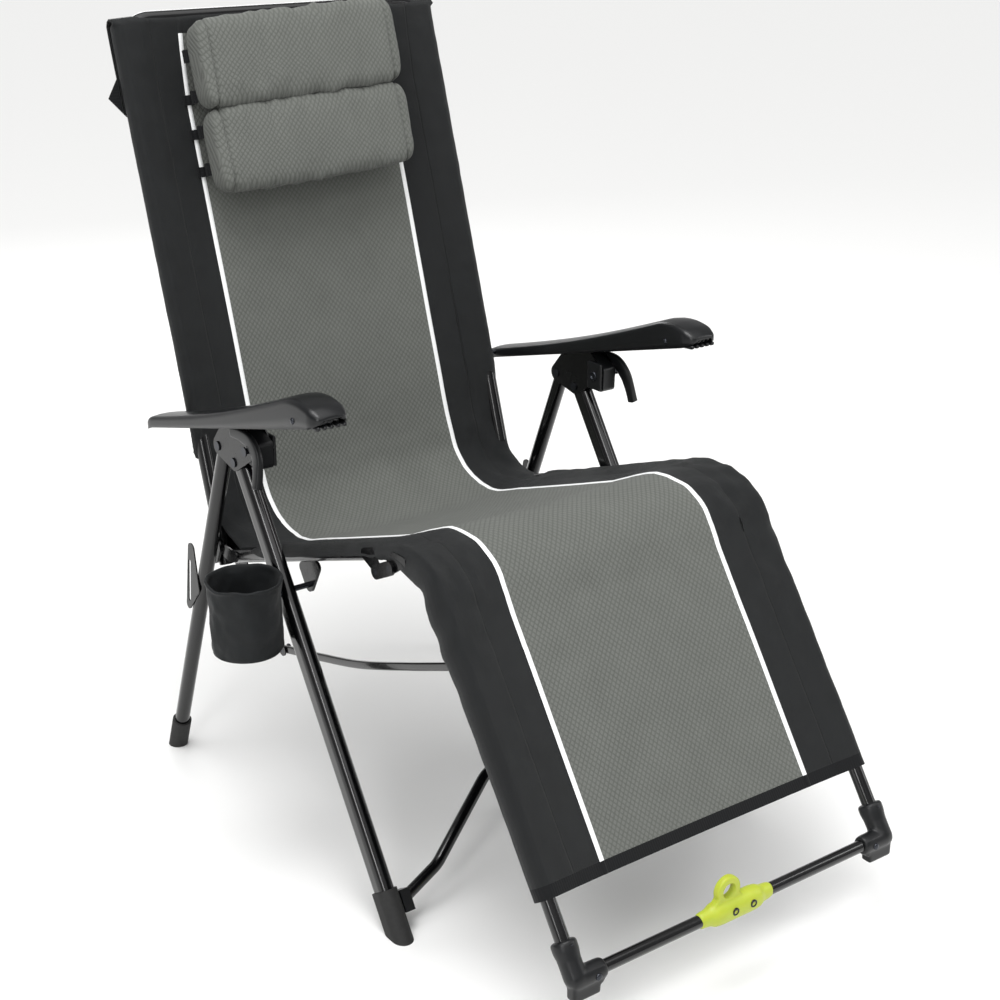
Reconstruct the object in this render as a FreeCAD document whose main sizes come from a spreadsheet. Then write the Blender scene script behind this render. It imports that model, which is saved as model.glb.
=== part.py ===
import FreeCAD, Part

# Zero gravity recliner: a folding camp chair with a mesh sling on steel tubes.
#
# The chair faces -Y and stands on Z = 0.  The origin is on the floor, on the
# chair's centre line, below the rivets that carry the front legs.  All sizes are
# millimetres.  Points of the side view are written (y, z).

import math
import os

from FreeCAD import Placement, Rotation, Vector

SIZES = (
    # the tubes and the gaps between the planes that they lie in
    ("rail_half_gap", 257.0, "centre line to the centre of a seat, back or leg rail"),
    ("rail_radius", 11.0, "seat and back rails"),
    ("legrest_radius", 9.5, "leg rest rails"),
    ("bar_radius", 8.0, "foot bar and cross tubes"),
    ("wall", 1.2, "wall of every tube"),
    ("ear_thickness", 2.0, "ears welded to the rails' ends"),
    ("plate_thickness", 4.0, "hinge plates"),
    ("hub_thickness", 2.0, "hub plates under the arms"),
    ("running_gap", 0.3, "side clearance between parts that turn"),
    ("fabric_room", 0.3, "clearance between a rail and the sling"),
    ("fabric", 2.0, "sling thickness"),
    ("pin_radius", 4.0, "pivot pins and rivets"),
    ("pin_fit", 0.05, "radial clearance of a pin in its hole"),
    ("head_radius", 6.5, "rivet heads"),
    ("head_height", 2.0, "rivet heads"),
    # front and rear legs
    ("leg_radius", 11.0, "half the thickness of a leg tube"),
    ("front_leg_depth", 33.0, "front leg's oval section, front to back"),
    ("front_rivet_y", 10.0, "front leg's rivet in the hub"),
    ("front_rivet_z", 553.0, "front leg's rivet in the hub"),
    ("rear_rivet_y", 54.0, "rear leg's rivet in the hub"),
    ("rear_rivet_z", 564.5, "rear leg's rivet in the hub"),
    ("front_foot_y", -355.0, "where the front leg's axis meets the floor"),
    ("rear_foot_y", 284.0, "where the rear leg's axis meets the floor"),
    ("leg_overrun", 12.0, "tube beyond its rivet"),
    ("foot_wall", 3.5, "rubber around the end of a leg"),
    ("foot_height", 42.0, "length of a rubber foot along its leg"),
    ("foot_sole", 9.0, "rubber under the end of a leg"),
    ("slot_y", 174.5, "middle of the slot in a rear leg's plate"),
    ("slot_z", 322.0, "middle of the slot in a rear leg's plate"),
    # seat
    ("seat_pivot_y", -97.0, "pivot of the seat on the front legs"),
    ("seat_pivot_z", 400.0, "pivot of the seat on the front legs"),
    ("seat_rear_y", 116.0, "rear end of a seat rail"),
    ("seat_front_y", -281.0, "front end of a seat rail"),
    ("seat_level_z", 411.0, "height of a seat rail above the origin"),
    ("seat_slope", 19.4, "rise of the seat to the front, in degrees"),
    # back
    ("back_pivot_y", 150.0, "pivot of the back on its hinge plate"),
    ("back_pivot_z", 360.0, "pivot of the back on its hinge plate"),
    ("back_lean", 17.5, "lean of the back from upright, in degrees"),
    ("back_length", 772.0, "back pivot to the axis of the top tube"),
    ("top_bend", 48.0, "bend radius of the top hoop"),
    ("top_leg", 120.0, "length of the top hoop's legs"),
    ("book_gap", 15.0, "seat and back rails to the pivot that folds them flat"),
    ("crank_y", 12.0, "pivot of the link on the back's crank"),
    ("crank_z", 256.0, "pivot of the link on the back's crank"),
    # leg rest
    ("knee_seat_y", -292.0, "knee plate's pivot on the seat"),
    ("knee_seat_z", 490.0, "knee plate's pivot on the seat"),
    ("knee_rest_y", -322.0, "knee plate's pivot on the leg rest"),
    ("knee_rest_z", 505.0, "knee plate's pivot on the leg rest"),
    ("rest_top_z", 521.0, "height of the leg rest's level run"),
    ("rest_start_y", -324.0, "start of a leg rest rail"),
    ("rest_bend_y", -391.0, "corner of a leg rest rail"),
    ("rest_bend", 60.0, "bend radius of a leg rest rail"),
    ("foot_bar_y", -677.0, "axis of the foot bar"),
    ("foot_bar_z", 110.0, "axis of the foot bar"),
    ("link_front_y", -420.0, "pivot of the link on the leg rest"),
    ("link_front_z", 402.0, "pivot of the link on the leg rest"),
    ("link_width", 13.0, "link bar, across"),
    ("link_thickness", 8.0, "link bar, sideways"),
    # armrests
    ("arm_rear_y", 212.0, "pivot of the armrest on the back"),
    ("arm_rear_z", 562.0, "pivot of the armrest on the back"),
    ("arm_width", 54.0, "armrest, across"),
    ("arm_wall", 3.0, "armrest shell"),
    ("arm_front_y", -205.0, "thickest point of the armrest"),
    ("arm_front_z", 683.0, "thickest point of the armrest"),
    ("arm_nose_y", -250.0, "tip of the armrest"),
    ("arm_nose_z", 687.0, "tip of the armrest"),
    # soft goods
    ("pillow_width", 372.0, "pillow, across"),
    ("pillow_depth", 50.0, "pillow, front to back"),
    ("pillow_low", 505.0, "pillow's lower edge, from the back pivot"),
    ("pillow_high", 762.0, "pillow's upper edge, from the back pivot"),
    ("webbing_half_gap", 172.0, "centre line to a webbing strip on the back"),
    ("webbing_width", 12.0, "webbing strip"),
    ("cup_radius", 50.0, "cup holder, outside"),
    ("cup_y", -102.0, "axis of the cup holder"),
    ("cup_rim_z", 444.0, "rim of the cup holder"),
    ("cup_depth", 100.0, "cup holder, rim to base"),
    ("cup_wall", 2.0, "cup holder fabric"),
    # pull tab
    ("tab_width", 108.0, "pull tab along the foot bar"),
    ("tab_wall", 6.0, "pull tab around the foot bar"),
    ("tab_offset", -8.0, "middle of the pull tab, from the centre line"),
    ("ring_radius", 19.0, "finger ring, outside"),
    ("ring_hole", 11.0, "finger ring, inside"),
    ("ring_offset", -22.0, "finger ring, from the centre line"),
    ("lever_thickness", 8.0, "recline lock lever"),
)

doc = FreeCAD.newDocument("recliner")
sheet = doc.addObject("Spreadsheet::Sheet", "Sizes")
pieces = []
cell_row = 0


def add_size(alias, value, note):
    """Write one named size to the next row of the sheet."""
    global cell_row
    cell_row += 1
    sheet.set(f"A{cell_row}", alias)
    sheet.set(f"B{cell_row}", repr(float(value)))
    sheet.set(f"C{cell_row}", note)
    sheet.setAlias(f"B{cell_row}", alias)


for alias, value, note in SIZES:
    add_size(alias, value, note)
sheet.recompute()


def size(alias):
    """The value of one cell of the sheet."""
    return float(sheet.get(alias))


def derive(alias, value, note):
    """Add a size that follows from the others."""
    add_size(alias, value, note)
    sheet.recompute()
    return float(value)


def point(alias):
    """The side view point whose y and z are two cells."""
    return (size(alias + "_y"), size(alias + "_z"))


# ---------------------------------------------------------------- side view sums

def along(start, degrees, length):
    """The point at a length from start, at an angle up from +Y."""
    angle = math.radians(degrees)
    return (start[0] + length * math.cos(angle), start[1] + length * math.sin(angle))


def heading(start, end):
    """The angle of a line in degrees, up from +Y."""
    return math.degrees(math.atan2(end[1] - start[1], end[0] - start[0]))


def at(x, where):
    """A side view point, moved sideways into space."""
    return Vector(x, where[0], where[1])


def hull(circles):
    """Lines and arcs around circles ((y, z), radius) that are in turning order."""
    count = len(circles)
    tangents = []
    for i in range(count):
        (first, r1), (second, r2) = circles[i], circles[(i + 1) % count]
        length = math.dist(first, second)
        dy, dz = (second[0] - first[0]) / length, (second[1] - first[1]) / length
        lean = (r1 - r2) / length
        across = math.sqrt(1 - lean * lean)
        ny, nz = across * dz + lean * dy, -across * dy + lean * dz
        tangents.append((
            (first[0] + r1 * ny, first[1] + r1 * nz),
            (second[0] + r2 * ny, second[1] + r2 * nz),
            math.atan2(nz, ny),
        ))
    shapes = []
    for i in range(count):
        start, end, angle = tangents[i]
        following = tangents[(i + 1) % count][2]
        centre, radius = circles[(i + 1) % count]
        shapes.append(Part.LineSegment(Vector(*start, 0), Vector(*end, 0)))
        circle = Part.Circle(Vector(*centre, 0), Vector(0, 0, 1), radius)
        while following < angle:
            following += 2 * math.pi
        shapes.append(Part.ArcOfCircle(circle, angle, following))
    return shapes


# ---------------------------------------------------------------- piece builders

def keep(obj, name):
    """Name an object as one of the chair's sub-parts."""
    obj.Label = name
    pieces.append(obj)
    return obj


def round_bar(name, radius, start, direction, length):
    """A solid cylinder; radius and length are cells or sums of cells."""
    obj = doc.addObject("Part::Cylinder", name)
    obj.setExpression("Radius", radius)
    obj.setExpression("Height", length)
    obj.Placement = Placement(start, Rotation(Vector(0, 0, 1), direction))
    return obj


def cut(name, base, tools):
    """One solid less one or more tools."""
    tool = tools[0]
    if len(tools) > 1:
        tool = doc.addObject("Part::MultiFuse", name + "_tools")
        tool.Shapes = tools
    obj = doc.addObject("Part::Cut", name)
    obj.Base = base
    obj.Tool = tool
    return obj


def fuse(name, shapes):
    """Several solids made one."""
    obj = doc.addObject("Part::MultiFuse", name)
    obj.Shapes = shapes
    obj.Refine = True
    return obj


def group(name, shapes):
    """Like pieces that share one node, as separate solids."""
    obj = doc.addObject("Part::Compound", name)
    obj.Links = shapes
    return keep(obj, name)


def pin_hole(name, where, x, reach):
    """A tool that drills a pin's hole from x towards +X, over a length in cells."""
    return round_bar(
        name, "Sizes.pin_radius + Sizes.pin_fit", at(x, where), Vector(1, 0, 0), reach
    )


def straight_tube(name, radius, start, end, length_cell, holes=()):
    """A tube between two points, drilled across for pins."""
    direction = end - start
    outside = round_bar(name + "_outside", radius, start, direction, length_cell)
    bore = round_bar(
        name + "_bore", f"{radius} - Sizes.wall", start, direction, length_cell
    )
    return cut(name, outside, [bore, *holes])


def plate(name, outline, thickness, x, holes=()):
    """A flat plate in a YZ plane that starts at x and grows towards +X."""
    body = doc.addObject("PartDesign::Body", name)
    sketch = body.newObject("Sketcher::SketchObject", name + "_outline")
    plane = [f for f in body.Origin.OriginFeatures if f.Role == "YZ_Plane"][0]
    sketch.AttachmentSupport = [(plane, "")]
    sketch.MapMode = "FlatFace"
    for shape in outline:
        sketch.addGeometry(shape, False)
    for centre, radius in holes:
        circle = Part.Circle(Vector(*centre, 0), Vector(0, 0, 1), radius)
        sketch.addGeometry(circle, False)
    pad = body.newObject("PartDesign::Pad", name + "_pad")
    pad.Profile = sketch
    pad.setExpression("Length", thickness)
    sketch.Visibility = False
    body.Placement = Placement(Vector(x, 0, 0), Rotation())
    return body


def rounded_path(points, radius):
    """Straight runs joined by arcs that touch them, as one wire."""
    edges = []
    here = points[0]
    for before, corner, after in zip(points, points[1:], points[2:]):
        arrive = (corner - before).normalize()
        leave = (after - corner).normalize()
        turn = arrive.getAngle(leave)
        back = radius * math.tan(turn / 2)
        start, end = corner - arrive * back, corner + leave * back
        inward = (leave - arrive).normalize()
        middle = corner + inward * (radius / math.cos(turn / 2) - radius)
        edges.append(Part.LineSegment(here, start).toShape())
        edges.append(Part.Arc(start, middle, end).toShape())
        here = end
    edges.append(Part.LineSegment(here, points[-1]).toShape())
    return Part.Wire(edges)


def bent_tube(name, points, bend, radius, wall):
    """A tube along straight runs with one bend radius."""
    path = rounded_path(points, bend)
    direction = points[1] - points[0]
    shapes = []
    for r in (radius, radius - wall):
        ring = Part.Wire(Part.Circle(points[0], direction, r).toShape())
        shapes.append(path.makePipeShell([ring], True, False))
    obj = doc.addObject("Part::Feature", name)
    obj.Shape = shapes[0].cut(shapes[1])
    obj.Placement = Placement()
    return obj


def band(name, points, bend, near, far, half_width):
    """A sheet that follows a side view path between two offsets, across the chair."""
    def offset(distance, radius):
        moved = []
        for i, here in enumerate(points):
            sides = []
            for a, b in ((i - 1, i), (i, i + 1)):
                if 0 <= a and b < len(points):
                    length = math.dist(points[a], points[b])
                    sides.append((
                        (points[b][1] - points[a][1]) / length,
                        -(points[b][0] - points[a][0]) / length,
                    ))
            ny = sum(s[0] for s in sides) / len(sides)
            nz = sum(s[1] for s in sides) / len(sides)
            scale = distance / (ny * ny + nz * nz)
            moved.append(Vector(0, here[0] + ny * scale, here[1] + nz * scale))
        return rounded_path(moved, radius) if len(points) > 2 else Part.Wire(
            [Part.LineSegment(moved[0], moved[1]).toShape()]
        )

    inner, outer = offset(near, bend + near), offset(far, bend + far)
    ends = [
        Part.LineSegment(inner.OrderedVertexes[k].Point, outer.OrderedVertexes[k].Point)
        for k in (0, -1)
    ]
    edges = [*inner.OrderedEdges, *outer.OrderedEdges, *(e.toShape() for e in ends)]
    wire = Part.Wire(Part.sortEdges(edges)[0])
    solid = Part.Face(wire).extrude(Vector(2 * half_width, 0, 0))
    obj = doc.addObject("Part::Feature", name)
    obj.Shape = solid
    obj.Placement = Placement(Vector(-half_width, 0, 0), Rotation())
    return keep(obj, name)


def both(build):
    """Build a piece on the left (-X) and on the right (+X)."""
    return [build(side, -1 if side == "left" else 1) for side in ("left", "right")]


def low_x(sign, inner, thickness):
    """The lowest X of a slab whose inner face is inner from the centre line."""
    return inner if sign > 0 else -inner - thickness


# ---------------------------------------------------------------- planes and points

RAIL = size("rail_half_gap")
R_RAIL = size("rail_radius")
GAP = size("running_gap")
PIN_HOLE = size("pin_radius") + size("pin_fit")

ear_in = RAIL + R_RAIL + size("fabric_room")
hinge_in = ear_in + size("ear_thickness") + GAP
arm_in = hinge_in + size("plate_thickness") + 2 * GAP
hub_in = arm_in + size("arm_wall") + 2 * GAP
leg_in = hub_in + size("hub_thickness") + GAP
leg_x = leg_in + size("leg_radius")
hub_out = leg_x + size("leg_radius") + GAP
lever_in = hub_out + size("hub_thickness") + size("head_height") + GAP
crank_in = RAIL - R_RAIL - GAP - size("ear_thickness")
link_in = crank_in - GAP - size("link_thickness")
derive("hub_block", hub_out - leg_in + GAP - 2 * GAP, "block between the hub plates")
derive("hub_pin", hub_out + size("hub_thickness") - hub_in, "rivet across the hub")
derive(
    "lock_bolt", lever_in + size("lever_thickness") + GAP - hub_in,
    "bolt across the hub and its lever",
)

FRONT_RIVET = point("front_rivet")
REAR_RIVET = point("rear_rivet")
SEAT_PIVOT = point("seat_pivot")
BACK_PIVOT = point("back_pivot")
ARM_PIVOT = point("arm_rear")
CRANK = point("crank")
LINK_FRONT = point("link_front")
KNEE_SEAT = point("knee_seat")
KNEE_REST = point("knee_rest")
FOOT_BAR = point("foot_bar")

seat_angle = 180 - size("seat_slope")
back_angle = 90 - size("back_lean")


def on_seat(y, lift=0.0):
    """A point of the seat rail's axis at y, or lift above it."""
    slope = math.tan(math.radians(size("seat_slope")))
    where = (y, size("seat_level_z") - y * slope)
    return along(where, seat_angle - 90, lift)


def on_back(distance, lift=0.0):
    """A point of the back rail's axis, or lift in front of it."""
    return along(along(BACK_PIVOT, back_angle, distance), back_angle + 90, lift)


# the pivot that lets the back close on the seat like a book's spine: it is the
# same distance in front of the back rail as it is above the seat rail
half_corner = math.radians((seat_angle - back_angle) / 2)
BOOK_PIVOT = along(
    BACK_PIVOT, (seat_angle + back_angle) / 2, size("book_gap") / math.sin(half_corner)
)


# ---------------------------------------------------------------- front legs

FRONT_FOOT = (size("front_foot_y"), 0.0)
front_angle = heading(FRONT_FOOT, FRONT_RIVET)
front_end = size("foot_sole") + size("front_leg_depth") / 2 / math.tan(
    math.radians(front_angle)
)
front_start = along(FRONT_FOOT, front_angle, front_end)
front_length = derive(
    "front_leg_length",
    math.dist(front_start, FRONT_RIVET) + size("leg_overrun"),
    "front leg tube",
)


def oval_bar(name, depth, radius, length, start, angle, bore=0.0):
    """A bar of oval section in the leg plane, hollow if it has a bore wall."""
    body = doc.addObject("PartDesign::Body", name)
    sketch = body.newObject("Sketcher::SketchObject", name + "_section")
    plane = [f for f in body.Origin.OriginFeatures if f.Role == "XY_Plane"][0]
    sketch.AttachmentSupport = [(plane, "")]
    sketch.MapMode = "FlatFace"
    half = depth / 2 - radius
    for inset in (0.0, bore) if bore else (0.0,):
        ends = [((0.0, -half), radius - inset), ((0.0, half), radius - inset)]
        for shape in hull(ends):
            sketch.addGeometry(shape, False)
    pad = body.newObject("PartDesign::Pad", name + "_pad")
    pad.Profile = sketch
    pad.setExpression("Length", length)
    sketch.Visibility = False
    body.Placement = Placement(start, Rotation(Vector(1, 0, 0), angle - 90))
    return body


def front_leg(side, sign):
    name = f"front_leg_{side}"
    tube = oval_bar(
        name + "_tube",
        size("front_leg_depth"),
        size("leg_radius"),
        "Sizes.front_leg_length",
        at(sign * leg_x, front_start),
        front_angle,
        size("wall"),
    )
    left = sign * leg_x - size("leg_radius") - GAP
    reach = "2 * (Sizes.leg_radius + Sizes.running_gap)"
    holes = [
        pin_hole(name + "_rivet_hole", FRONT_RIVET, left, reach),
        pin_hole(name + "_seat_hole", SEAT_PIVOT, left, reach),
    ]
    return keep(cut(name, tube, holes), name)


both(front_leg)


def foot(name, sign, ground, angle, depth, radius, start):
    """A rubber foot: a boot around the end of a leg, cut flat at the floor."""
    wall = size("foot_wall")
    below = 60.0
    outer_start = along(start, angle, -below)
    derive(name + "_length", below + size("foot_height"), "boot before it is cut flat")
    boot = oval_bar(
        name + "_boot", depth + 2 * wall, radius + wall, f"Sizes.{name}_length",
        at(sign * leg_x, outer_start), angle,
    )
    socket = oval_bar(
        name + "_socket", depth + 0.1, radius + 0.05, f"Sizes.{name}_length",
        at(sign * leg_x, start), angle,
    )
    under = doc.addObject("Part::Box", name + "_under")
    under.Length, under.Width, under.Height = 200, 400, 200
    under.Placement = Placement(
        Vector(sign * leg_x - 100, ground[0] - 200, -200), Rotation()
    )
    return keep(cut(name, boot, [socket, under]), name)


def front_foot(side, sign):
    return foot(
        f"front_foot_{side}", sign, FRONT_FOOT, front_angle,
        size("front_leg_depth"), size("leg_radius"), front_start,
    )


both(front_foot)

# arched tube between the front legs, in their plane, in two riveted sockets
bar_r = size("bar_radius")


def in_leg_plane(x, z):
    """A point of the plane of the front legs."""
    run = (FRONT_RIVET[0] - FRONT_FOOT[0]) / FRONT_RIVET[1]
    return Vector(x, FRONT_FOOT[0] + z * run, z)


socket_out = leg_in - size("foot_wall") - 0.1
socket_in = socket_out - 14
arch = [(socket_out - 4, 34), (206, 57), (84, 136)]
cross_points = [in_leg_plane(-x, z) for x, z in arch]
cross_points += [in_leg_plane(x, z) for x, z in reversed(arch)]
keep(
    bent_tube("front_cross_tube", cross_points, 55, bar_r, size("wall")),
    "front_cross_tube",
)


def cross_socket(side, sign):
    """A block on the front leg that holds one end of the cross tube."""
    name = f"cross_socket_{side}"
    end = in_leg_plane(sign * arch[0][0], arch[0][1])
    nearby = in_leg_plane(sign * arch[1][0], arch[1][1])
    block = doc.addObject("Part::Box", name + "_block")
    block.Length, block.Width, block.Height = 14, 26, 30
    turn = Rotation(Vector(1, 0, 0), front_angle - 90)
    block.Placement = Placement(
        Vector(sign * (socket_in + 7), end.y, end.z) - turn.multVec(Vector(7, 13, 15)),
        turn,
    )
    direction = nearby - end
    direction.normalize()
    bore = round_bar(
        name + "_bore", "Sizes.bar_radius + 0.1", end - direction * 30, direction,
        "100",
    )
    return cut(name, block, [bore])


group("cross_tube_sockets", both(cross_socket))


# ---------------------------------------------------------------- rear legs

REAR_FOOT = (size("rear_foot_y"), 0.0)
rear_angle = heading(REAR_FOOT, REAR_RIVET)
rear_end = size("foot_sole") + size("leg_radius") * abs(
    1 / math.tan(math.radians(rear_angle))
)
rear_start = along(REAR_FOOT, rear_angle, rear_end)
rear_length = derive(
    "rear_leg_length",
    math.dist(rear_start, REAR_RIVET) + size("leg_overrun"),
    "rear leg tube",
)


def rear_leg(side, sign):
    name = f"rear_leg_{side}"
    left = sign * leg_x - size("leg_radius") - GAP
    reach = "2 * (Sizes.leg_radius + Sizes.running_gap)"
    start = at(sign * leg_x, rear_start)
    end = at(sign * leg_x, REAR_RIVET)
    hole = pin_hole(name + "_rivet_hole", REAR_RIVET, left, reach)
    tube = straight_tube(
        name, "Sizes.leg_radius", start, end, "Sizes.rear_leg_length", [hole]
    )
    return keep(tube, name)


both(rear_leg)


def rear_foot(side, sign):
    return foot(
        f"rear_foot_{side}", sign, REAR_FOOT, rear_angle,
        2 * size("leg_radius") + 0.02, size("leg_radius"), rear_start,
    )


both(rear_foot)

# slotted plates that stiffen the rear legs
SLOT = point("slot")


def slot_plate(side, sign):
    """A slotted plate on the outside of a rear leg."""
    name = f"rear_slot_plate_{side}"
    inner = leg_x + size("leg_radius") + 0.1
    thick = size("ear_thickness")
    leg_at = along(REAR_RIVET, rear_angle + 180, (REAR_RIVET[1] - SLOT[1]) * 1.1)
    low = (SLOT[0] + 7, SLOT[1] - 40)
    high = (SLOT[0] - 12, SLOT[1] + 54)
    blank = plate(
        name + "_blank", hull([(leg_at, 10.0), (low, 7.0), (high, 9.0)]),
        "Sizes.ear_thickness", low_x(sign, inner, thick),
    )
    slot = plate(
        name + "_slot",
        hull([
            ((low[0] - 4, low[1] + 10), 3.5),
            ((high[0] + 7, high[1] - 22), 3.5),
        ]),
        "3 * Sizes.ear_thickness", low_x(sign, inner - thick, 3 * thick),
    )
    return keep(cut(name, blank, [slot]), name)


both(slot_plate)


# ---------------------------------------------------------------- hubs

def hub_plates(side, sign):
    """Two plates that hold both legs and reach up into the armrest."""
    name = f"hub_plates_{side}"
    outline = hull([
        (FRONT_RIVET, 12.0),
        (REAR_RIVET, 13.0),
        ((FRONT_RIVET[0] + 18, FRONT_RIVET[1] + 49), 8.0),
        ((FRONT_RIVET[0] - 28, FRONT_RIVET[1] + 59), 8.0),
        (lock_pin(), 12.0),
    ])
    lock_at = lock_pin()
    holes = [(FRONT_RIVET, PIN_HOLE), (REAR_RIVET, PIN_HOLE), (lock_at, PIN_HOLE)]
    plates = [
        plate(
            f"{name}_{where}", outline, "Sizes.hub_thickness",
            low_x(sign, inner, size("hub_thickness")), holes,
        )
        for where, inner in (("inner", hub_in), ("outer", hub_out))
    ]
    return group(name, plates)


def lock_pin():
    """Where the lock's bolt goes through the hub plates."""
    return (FRONT_RIVET[0] - 54, FRONT_RIVET[1] + 33)


both(hub_plates)


def lock_block(side, sign):
    """The catch that holds the armrest, between the hub plates."""
    name = f"lock_block_{side}"
    lock_at = lock_pin()
    outline = hull([
        ((lock_at[0] - 6, lock_at[1] - 20), 7.0),
        ((lock_at[0] + 18, lock_at[1] - 18), 5.0),
        ((lock_at[0] + 24, lock_at[1] + 18), 6.0),
        ((lock_at[0] - 8, lock_at[1] + 6), 6.0),
    ])
    return keep(
        plate(
            name, outline, "Sizes.hub_block",
            low_x(sign, leg_in, size("hub_block")), [(lock_at, PIN_HOLE)],
        ),
        name,
    )


both(lock_block)


def rivet(name, where, x_low, length, heads=(True, True)):
    """A headed pin along X, from x_low, over a length in cells."""
    low = at(x_low, where)
    shank = round_bar(name + "_shank", "Sizes.pin_radius", low, Vector(1, 0, 0), length)
    parts = [shank]
    high = at(x_low + size(length.replace("Sizes.", "")), where)
    for wanted, start, way in ((heads[0], low, -1), (heads[1], high, 1)):
        if wanted:
            parts.append(round_bar(
                f"{name}_head_{'in' if way < 0 else 'out'}", "Sizes.head_radius",
                start, Vector(way, 0, 0), "Sizes.head_height",
            ))
    return fuse(name, parts) if len(parts) > 1 else shank


def hub_rivets(side, sign):
    return [
        rivet(
            f"{label}_{side}", where, low_x(sign, hub_in, size(cell)), "Sizes." + cell
        )
        for label, where, cell in (
            ("front_rivet", FRONT_RIVET, "hub_pin"),
            ("rear_rivet", REAR_RIVET, "hub_pin"),
            ("lock_bolt", lock_pin(), "lock_bolt"),
        )
    ]


rivets = both(hub_rivets)
group("hub_rivets", [r for pair in rivets for r in pair])


def lever(side, sign):
    """The lever that frees the armrest, outside the hub."""
    name = f"recline_lever_{side}"
    pivot = lock_pin()
    low = low_x(sign, lever_in, size("lever_thickness"))
    handle = ((pivot[0] - 35, pivot[1] - 38), 6.0)
    catch = ((pivot[0] + 39, pivot[1] + 14), 7.0)
    arms = [
        plate(
            f"{name}_{label}", hull([end, (pivot, 9.0)]), "Sizes.lever_thickness", low
        )
        for label, end in (("handle", handle), ("catch", catch))
    ]
    hole = pin_hole(name + "_hole", pivot, low - GAP, "Sizes.lever_thickness + 1")
    return keep(cut(name, fuse(name + "_arms", arms), [hole]), name)


both(lever)


# ---------------------------------------------------------------- seat

def rail_x(sign):
    return sign * RAIL


seat_rear = on_seat(size("seat_rear_y"))
seat_front = on_seat(size("seat_front_y"))
derive("seat_rail_length", math.dist(seat_rear, seat_front), "seat rail tube")


def seat_rail(side, sign):
    name = f"seat_rail_{side}"
    tube = straight_tube(
        name, "Sizes.rail_radius", at(rail_x(sign), seat_rear),
        at(rail_x(sign), seat_front), "Sizes.seat_rail_length",
    )
    return keep(tube, name)


both(seat_rail)


def seat_bracket(side, sign):
    """A lug under the seat rail that turns on the front leg's pin."""
    name = f"seat_bracket_{side}"
    thick = size("plate_thickness")
    top = on_seat(SEAT_PIVOT[0] - 14, -R_RAIL - 8.1)
    rear = on_seat(SEAT_PIVOT[0] + 22, -R_RAIL - 8.1)
    outline = hull([(SEAT_PIVOT, 10.0), (rear, 8.0), (top, 8.0)])
    return keep(
        plate(
            name, outline, "Sizes.plate_thickness",
            low_x(sign, RAIL - thick / 2, thick), [(SEAT_PIVOT, PIN_HOLE)],
        ),
        name,
    )


both(seat_bracket)
derive(
    "seat_pin",
    leg_x + size("leg_radius") - RAIL + size("plate_thickness") / 2 + GAP,
    "pin from the front leg to the seat bracket",
)


def seat_pin(side, sign):
    inner = RAIL - size("plate_thickness") / 2 - GAP
    return rivet(
        f"seat_pin_{side}", SEAT_PIVOT, low_x(sign, inner, size("seat_pin")),
        "Sizes.seat_pin",
    )


group("seat_pivot_pins", both(seat_pin))


def ear(name, sign, circles, hole_at):
    """A thin ear outside a rail, drilled for one pin."""
    return plate(
        name, hull(circles), "Sizes.ear_thickness",
        low_x(sign, ear_in, size("ear_thickness")), [(hole_at, PIN_HOLE)],
    )


def seat_ears(side, sign):
    rear = ear(
        f"seat_rear_ear_{side}", sign,
        [(on_seat(size("seat_rear_y") - 22), 8.0), (on_seat(size("seat_rear_y") - 4), 8.0),
         (BOOK_PIVOT, 8.0)],
        BOOK_PIVOT,
    )
    front = ear(
        f"seat_front_ear_{side}", sign,
        [(KNEE_SEAT, 8.0), (on_seat(size("seat_front_y") + 20), 8.0),
         (on_seat(size("seat_front_y") + 4), 8.0)],
        KNEE_SEAT,
    )
    return [rear, front]


ears = both(seat_ears)
group("seat_rail_ears", [e for pair in ears for e in pair])

sling_near = R_RAIL + size("fabric_room")
sling_far = sling_near + size("fabric")
sling_half = RAIL + R_RAIL - 1.0
band(
    "seat_sling", [on_seat(68.0), on_seat(-268.0)], 0, sling_near, sling_far,
    sling_half,
)


# ---------------------------------------------------------------- back hinge plates

def hinge_plate(name, sign, first, second):
    """A plate with a pivot at each end."""
    return plate(
        name, hull([(first, 9.5), (second, 9.5)]), "Sizes.plate_thickness",
        low_x(sign, hinge_in, size("plate_thickness")),
        [(first, PIN_HOLE), (second, PIN_HOLE)],
    )


def back_hinge(side, sign):
    name = f"back_hinge_plate_{side}"
    return keep(hinge_plate(name, sign, BOOK_PIVOT, BACK_PIVOT), name)


both(back_hinge)
derive(
    "book_pin", hinge_in + size("plate_thickness") - ear_in,
    "pin through a rail's ear and its hinge plate",
)
derive(
    "rail_pin", hinge_in + size("plate_thickness") - RAIL + R_RAIL,
    "pin through a rail and its hinge plate",
)


def hinge_pins(side, sign):
    """The book pin has no inner head, so that the back rail can pass it."""
    book = rivet(
        f"book_pin_{side}", BOOK_PIVOT, low_x(sign, ear_in, size("book_pin")),
        "Sizes.book_pin", (False, False),
    )
    back = rivet(
        f"back_pin_{side}", BACK_PIVOT, low_x(sign, RAIL - R_RAIL, size("rail_pin")),
        "Sizes.rail_pin", (False, False),
    )
    return [book, back]


pins = both(hinge_pins)
group("back_hinge_pins", [p for pair in pins for p in pair])


# ---------------------------------------------------------------- back

hoop_axis = size("back_length")
rail_low = 14.0
joint_at = hoop_axis - size("top_leg")
derive("back_rail_length", joint_at + rail_low, "back rail, below the top hoop")


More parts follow.
